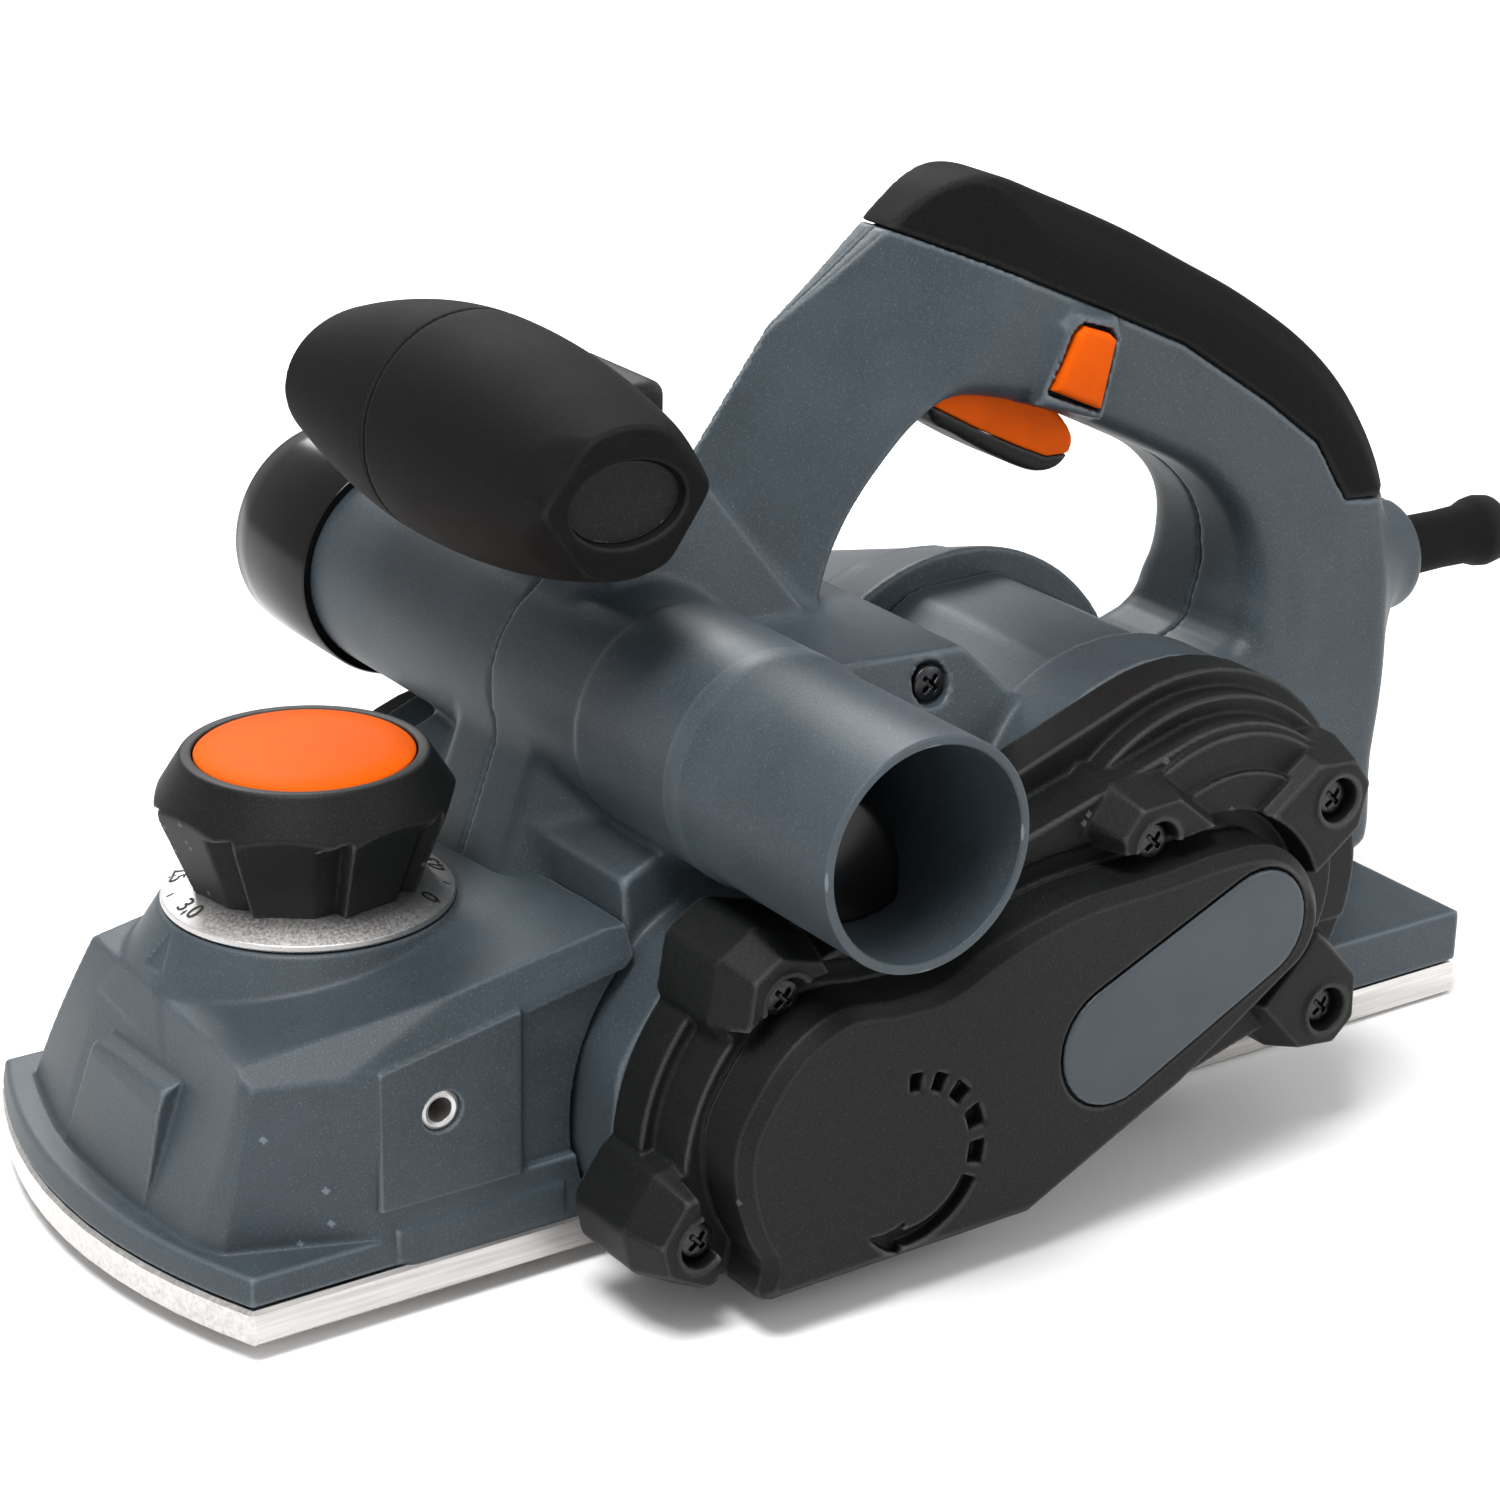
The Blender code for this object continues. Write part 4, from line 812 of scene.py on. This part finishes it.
def soften(obj, width, angle=35.0):
    """Small rounded edges, and smooth shading elsewhere."""
    mod = obj.modifiers.new("edges", "BEVEL")
    mod.width = width * MM
    mod.segments = 2
    mod.limit_method = "ANGLE"
    mod.angle_limit = math.radians(angle)
    mod.harden_normals = True
    obj.data.shade_smooth()


def box_piece(name, size):
    """A thin bar centred on the origin, with chamfered rims."""
    bm = bmesh.new()
    bmesh.ops.create_cube(bm, size=1.0)
    bmesh.ops.scale(bm, vec=Vector(size) * MM, verts=bm.verts)
    bmesh.ops.bevel(bm, geom=list(bm.edges), offset=0.03 * MM, segments=1, affect="EDGES")
    mesh = bpy.data.meshes.new(name)
    bm.to_mesh(mesh)
    bm.free()
    obj = bpy.data.objects.new(name, mesh)
    bpy.context.collection.objects.link(obj)
    return obj


def text_piece(name, text, size):
    """Raised figures as a mesh, centred on the origin."""
    curve = bpy.data.curves.new(name, "FONT")
    curve.body = text
    curve.size = size * MM
    curve.extrude = 0.05 * MM
    curve.align_x, curve.align_y = "CENTER", "CENTER"
    source = bpy.data.objects.new(name + "_source", curve)
    bpy.context.collection.objects.link(source)
    bpy.context.view_layer.update()
    mesh = bpy.data.meshes.new_from_object(source.evaluated_get(bpy.context.evaluated_depsgraph_get()))
    bpy.data.objects.remove(source)
    mesh.name = name
    mesh.materials.clear()
    obj = bpy.data.objects.new(name, mesh)
    bpy.context.collection.objects.link(obj)
    return obj


def make_controls(mats):
    g = Grid((188, -14, 126), (236, 14, 170), FINE)
    blade = smooth_outline([(192.6, 163), (192.4, 147.5), (200, 141.5), (212, 134.5), (222, 130),
                            (229, 130.8), (231.8, 137), (224, 146), (211, 153), (203, 162)], 4)
    whole = smax(side_outline(g, blade), np.abs(g.Y) - 9.8, 2.2)
    lip_line = side_outline(g, [(180, 150), (192.4, 149.5), (205, 142.5), (216, 137.0), (224, 133.4),
                                (236, 132.6), (236, 120), (180, 120)])
    trigger = smax(whole, -(lip_line - 0.1), 0.3)
    lip = smax(whole, lip_line + 0.1, 0.3)
    field_piece("trigger_face", trigger, g, mats["orange"], "orange_plastic", "trigger_body", "trigger")
    field_piece("trigger_edge", lip, g, mats["black"], "black_plastic", "trigger_body", "trigger_lip")
    g = Grid((212, -23, 142), (238, -12, 170), 0.4)
    button = smax(smax(side_outline(g, lock_outline(-0.2)), -21.3 - g.Y, 1.6), g.Y + 14.0, 0.4)
    field_piece("lock_button_face", button, g, mats["orange"], "orange_plastic", "lock_body", "lock_button")


def make_fittings(mats):
    axis = (TUBE_X, 0, TUBE_Z)
    cap = lathe_piece("dust_cap_shell", [
        (23.9, 77.0), (25.4, 77.0), (25.8, 77.6), (25.7, 104.0), (25.3, 110.0), (24.0, 112.0), (14.0, 112.0),
        (13.0, 111.2), (0, 111.2), (0, 109.0), (23.9, 109.0)], axis, "Y", 96)
    finish_piece(cap, mats["gloss"], "black_plastic", "dust_cap_body", "dust_cap")
    guard = lathe_piece("cord_guard_shell", [(4.0, 330), (6.3, 330), (7.0, 340.5), (7.3, 346), (7.1, 356),
                                             (7.3, 364), (8.5, 367.5), (8.8, 370), (8.3, 373), (7.2, 374),
                                             (4.0, 374)], (0, 0, CORD_Z), "X", 48)
    finish_piece(guard, mats["rubber"], "rubber", ROOT, "cord_guard")
    mouth = lathe_piece("dust_tube_mouth", [
        (TUBE_BORE, TUBE_JOIN + 2), (TUBE_BORE, -118.8), (TUBE_BORE, -119.6), (TUBE_BORE + 0.4, TUBE_NEAR),
        (TUBE_RADIUS - 0.4, TUBE_NEAR), (TUBE_RADIUS, -119.6), (TUBE_RADIUS, -118.8), (TUBE_RADIUS, -73.5),
        (24.4, -72.0), (24.4, TUBE_JOIN - 1.0), (24.2, TUBE_JOIN + 2)], axis, "Y", 144)
    finish_piece(mouth, mats["grey"], "housing", ROOT, "housing_left")
    g = Grid((TUBE_X - 23, -101, TUBE_Z - 23), (TUBE_X + 15, -64, TUBE_Z + 18), 0.6)
    bowl = np.hypot(g.X - TUBE_X + 13.0, g.Z - TUBE_Z + 15.0) - 24.0
    sheet = np.abs(smax(bowl, -98.0 - g.Y, 3.0) + 0.8) - 0.8
    sheet = smax(sheet, np.maximum(radial(g, "Y", TUBE_X, TUBE_Z) - 21.5, g.Y + 66.0), 0.3)
    field_piece("chip_deflector_face", sheet, g, mats["gloss"], "black_plastic", ROOT)
    insert = lathe_piece("insert_ring", [
        (2.6, -57.2), (3.4, -57.6), (4.2, -57.2), (4.2, -49.0), (2.6, -49.0)],
        (INSERT_X, 0, INSERT_Z), "Y", 48)
    finish_piece(insert, mats["silver"], "brass", ROOT, "guide_insert")
    heads = [("cover_screw_%d" % i, x, z, face + HEAD_SINK)
             for i, (x, z, face) in enumerate(LUGS, 1)]
    heads.append(("housing_screw", *HOUSING_SCREW, -50.3))
    for name, x, z, head_y in heads:
        make_screw(mats, name, x, z, head_y)


def make_screw(mats, name, x, z, head_y):
    """Pan-head screw with a cross recess."""
    g = Grid((x - 5, head_y - 4, z - 5), (x + 5, head_y + 13, z + 5), 0.22)
    r = radial(g, "Y", x, z)
    crown = head_y - 3.0 + (r / HEAD_RADIUS) ** 2 * 0.7 - g.Y
    head = solid_of([r - HEAD_RADIUS, crown, g.Y - head_y], 0.35)
    out = smin(head, smax(r - 2.0, np.maximum(head_y - 0.5 - g.Y, g.Y - head_y - 11.0), 0.3), 0.2)
    u, v = g.X - x, g.Z - z
    a, b = (u + v) * 0.7071, (u - v) * 0.7071
    cross = np.minimum(np.maximum(np.abs(a) - 0.5, np.abs(b) - 2.3),
                       np.maximum(np.abs(b) - 0.5, np.abs(a) - 2.3))
    depth = g.Y - (head_y - 0.9) + r * 0.3
    out = carve(out, np.maximum(cross, depth), 0.15)
    field_piece(name + "_head", out, g, mats["dark"], "dark_steel", ROOT, name)


def make_deck(mats):
    """Grey deck over the rear sole, troughed under the barrel."""
    g = Grid((176, -60, 7), (318, 60, 23), COARSE)
    edge = np.maximum(np.maximum(179.6 - g.X, g.X - 315.8), np.abs(g.Y) - 57.8)
    deck = smax(edge, np.maximum(8.0 - g.Z, g.Z - DECK_TOP), 1.3)
    deck = carve(deck, radial(g, "Y", MOTOR_X, MOTOR_Z) - BARREL_RADIUS - 0.5, 0.6)
    field_piece("rear_deck_shell", deck, g, mats["grey"], "housing", ROOT, "rear_deck")


def dress_nodes(mats):
    """Keep the remaining CAD nodes and give each its real finish."""
    finishes = {"sole": "sole", "steel": "steel", "dark_steel": "dark", "laminations": "iron",
                "brass": "brass", "carbon": "figures", "belt": "rubber", "black_plastic": "black",
                "rubber": "rubber", "orange_plastic": "orange", "housing": "grey", "label": "label",
                "scale_ring": "silver"}
    slots = {entry["node"]: entry["material_slot"] for entry in frame["record"]["subparts"]}
    for node, obj in frame["nodes"].items():
        mat = mats[finishes[slots[node]]]
        if obj.material_slots:
            for entry in obj.material_slots:
                entry.material = mat
        else:
            obj.data.materials.append(mat)


# ---------------------------------------------------------------- setting

def make_stage():
    mesh = bpy.data.meshes.new("studio_floor")
    ground = [(x, y, -0.0005) for x, y in ((-6, -6), (6, -6), (6, 6), (-6, 6))]
    mesh.from_pydata(ground, [], [(0, 1, 2, 3)])
    floor = bpy.data.objects.new("studio_floor", mesh)
    bpy.context.collection.objects.link(floor)
    mat, _, _, shader = base_material("pale_floor")
    shader.inputs["Base Color"].default_value = (0.92, 0.92, 0.92, 1)
    shader.inputs["Roughness"].default_value = 0.9
    mesh.materials.append(mat)
    world = bpy.data.worlds.new("studio")
    world.use_nodes = True
    world.node_tree.nodes["Background"].inputs["Color"].default_value = (1, 1, 1, 1)
    world.node_tree.nodes["Background"].inputs["Strength"].default_value = 0.62
    bpy.context.scene.world = world
    bpy.context.scene.view_settings.view_transform = "Standard"


def make_light(name, place, target, power, size):
    data = bpy.data.lights.new(name, "AREA")
    data.energy = power
    data.size = size
    obj = bpy.data.objects.new(name, data)
    bpy.context.collection.objects.link(obj)
    obj.location = place
    obj.rotation_euler = (Vector(target) - Vector(place)).to_track_quat("-Z", "Y").to_euler()


def make_lights():
    target = (-0.06, 0, 0.09)
    make_light("key", (-0.55, -0.3, 1.3), target, 19.0, 0.5)
    make_light("side", (0.9, -1.1, 0.7), target, 7.0, 0.8)
    make_light("rim", (0.3, 1.2, 1.1), target, 18.0, 0.7)


def make_camera():
    az, el, roll = (math.radians(v) for v in (-34.7, 21.4, 1.1))
    back = Vector((math.sin(az) * math.cos(el), -math.cos(az) * math.cos(el), math.sin(el)))
    right = Vector((math.cos(az), math.sin(az), 0))
    up = back.cross(right)
    turned = math.cos(roll) * right + math.sin(roll) * up
    above = -math.sin(roll) * right + math.cos(roll) * up
    data = bpy.data.cameras.new("camera")
    data.sensor_width = 36.0
    data.lens = 91.2
    data.clip_start = 0.01
    obj = bpy.data.objects.new("camera", data)
    bpy.context.collection.objects.link(obj)
    rotation = Matrix((turned, above, back)).transposed().to_4x4()
    obj.matrix_world = Matrix.Translation((-0.5153, -0.6331, 0.3772)) @ rotation
    bpy.context.scene.camera = obj


# ---------------------------------------------------------------- build

materials = make_materials()
dress_nodes(materials)
make_housing(materials)
make_nose(materials)
make_belt_side(materials)
make_knob(materials)
make_grip(materials)
make_controls(materials)
make_fittings(materials)
make_deck(materials)
make_stage()
make_lights()
make_camera()
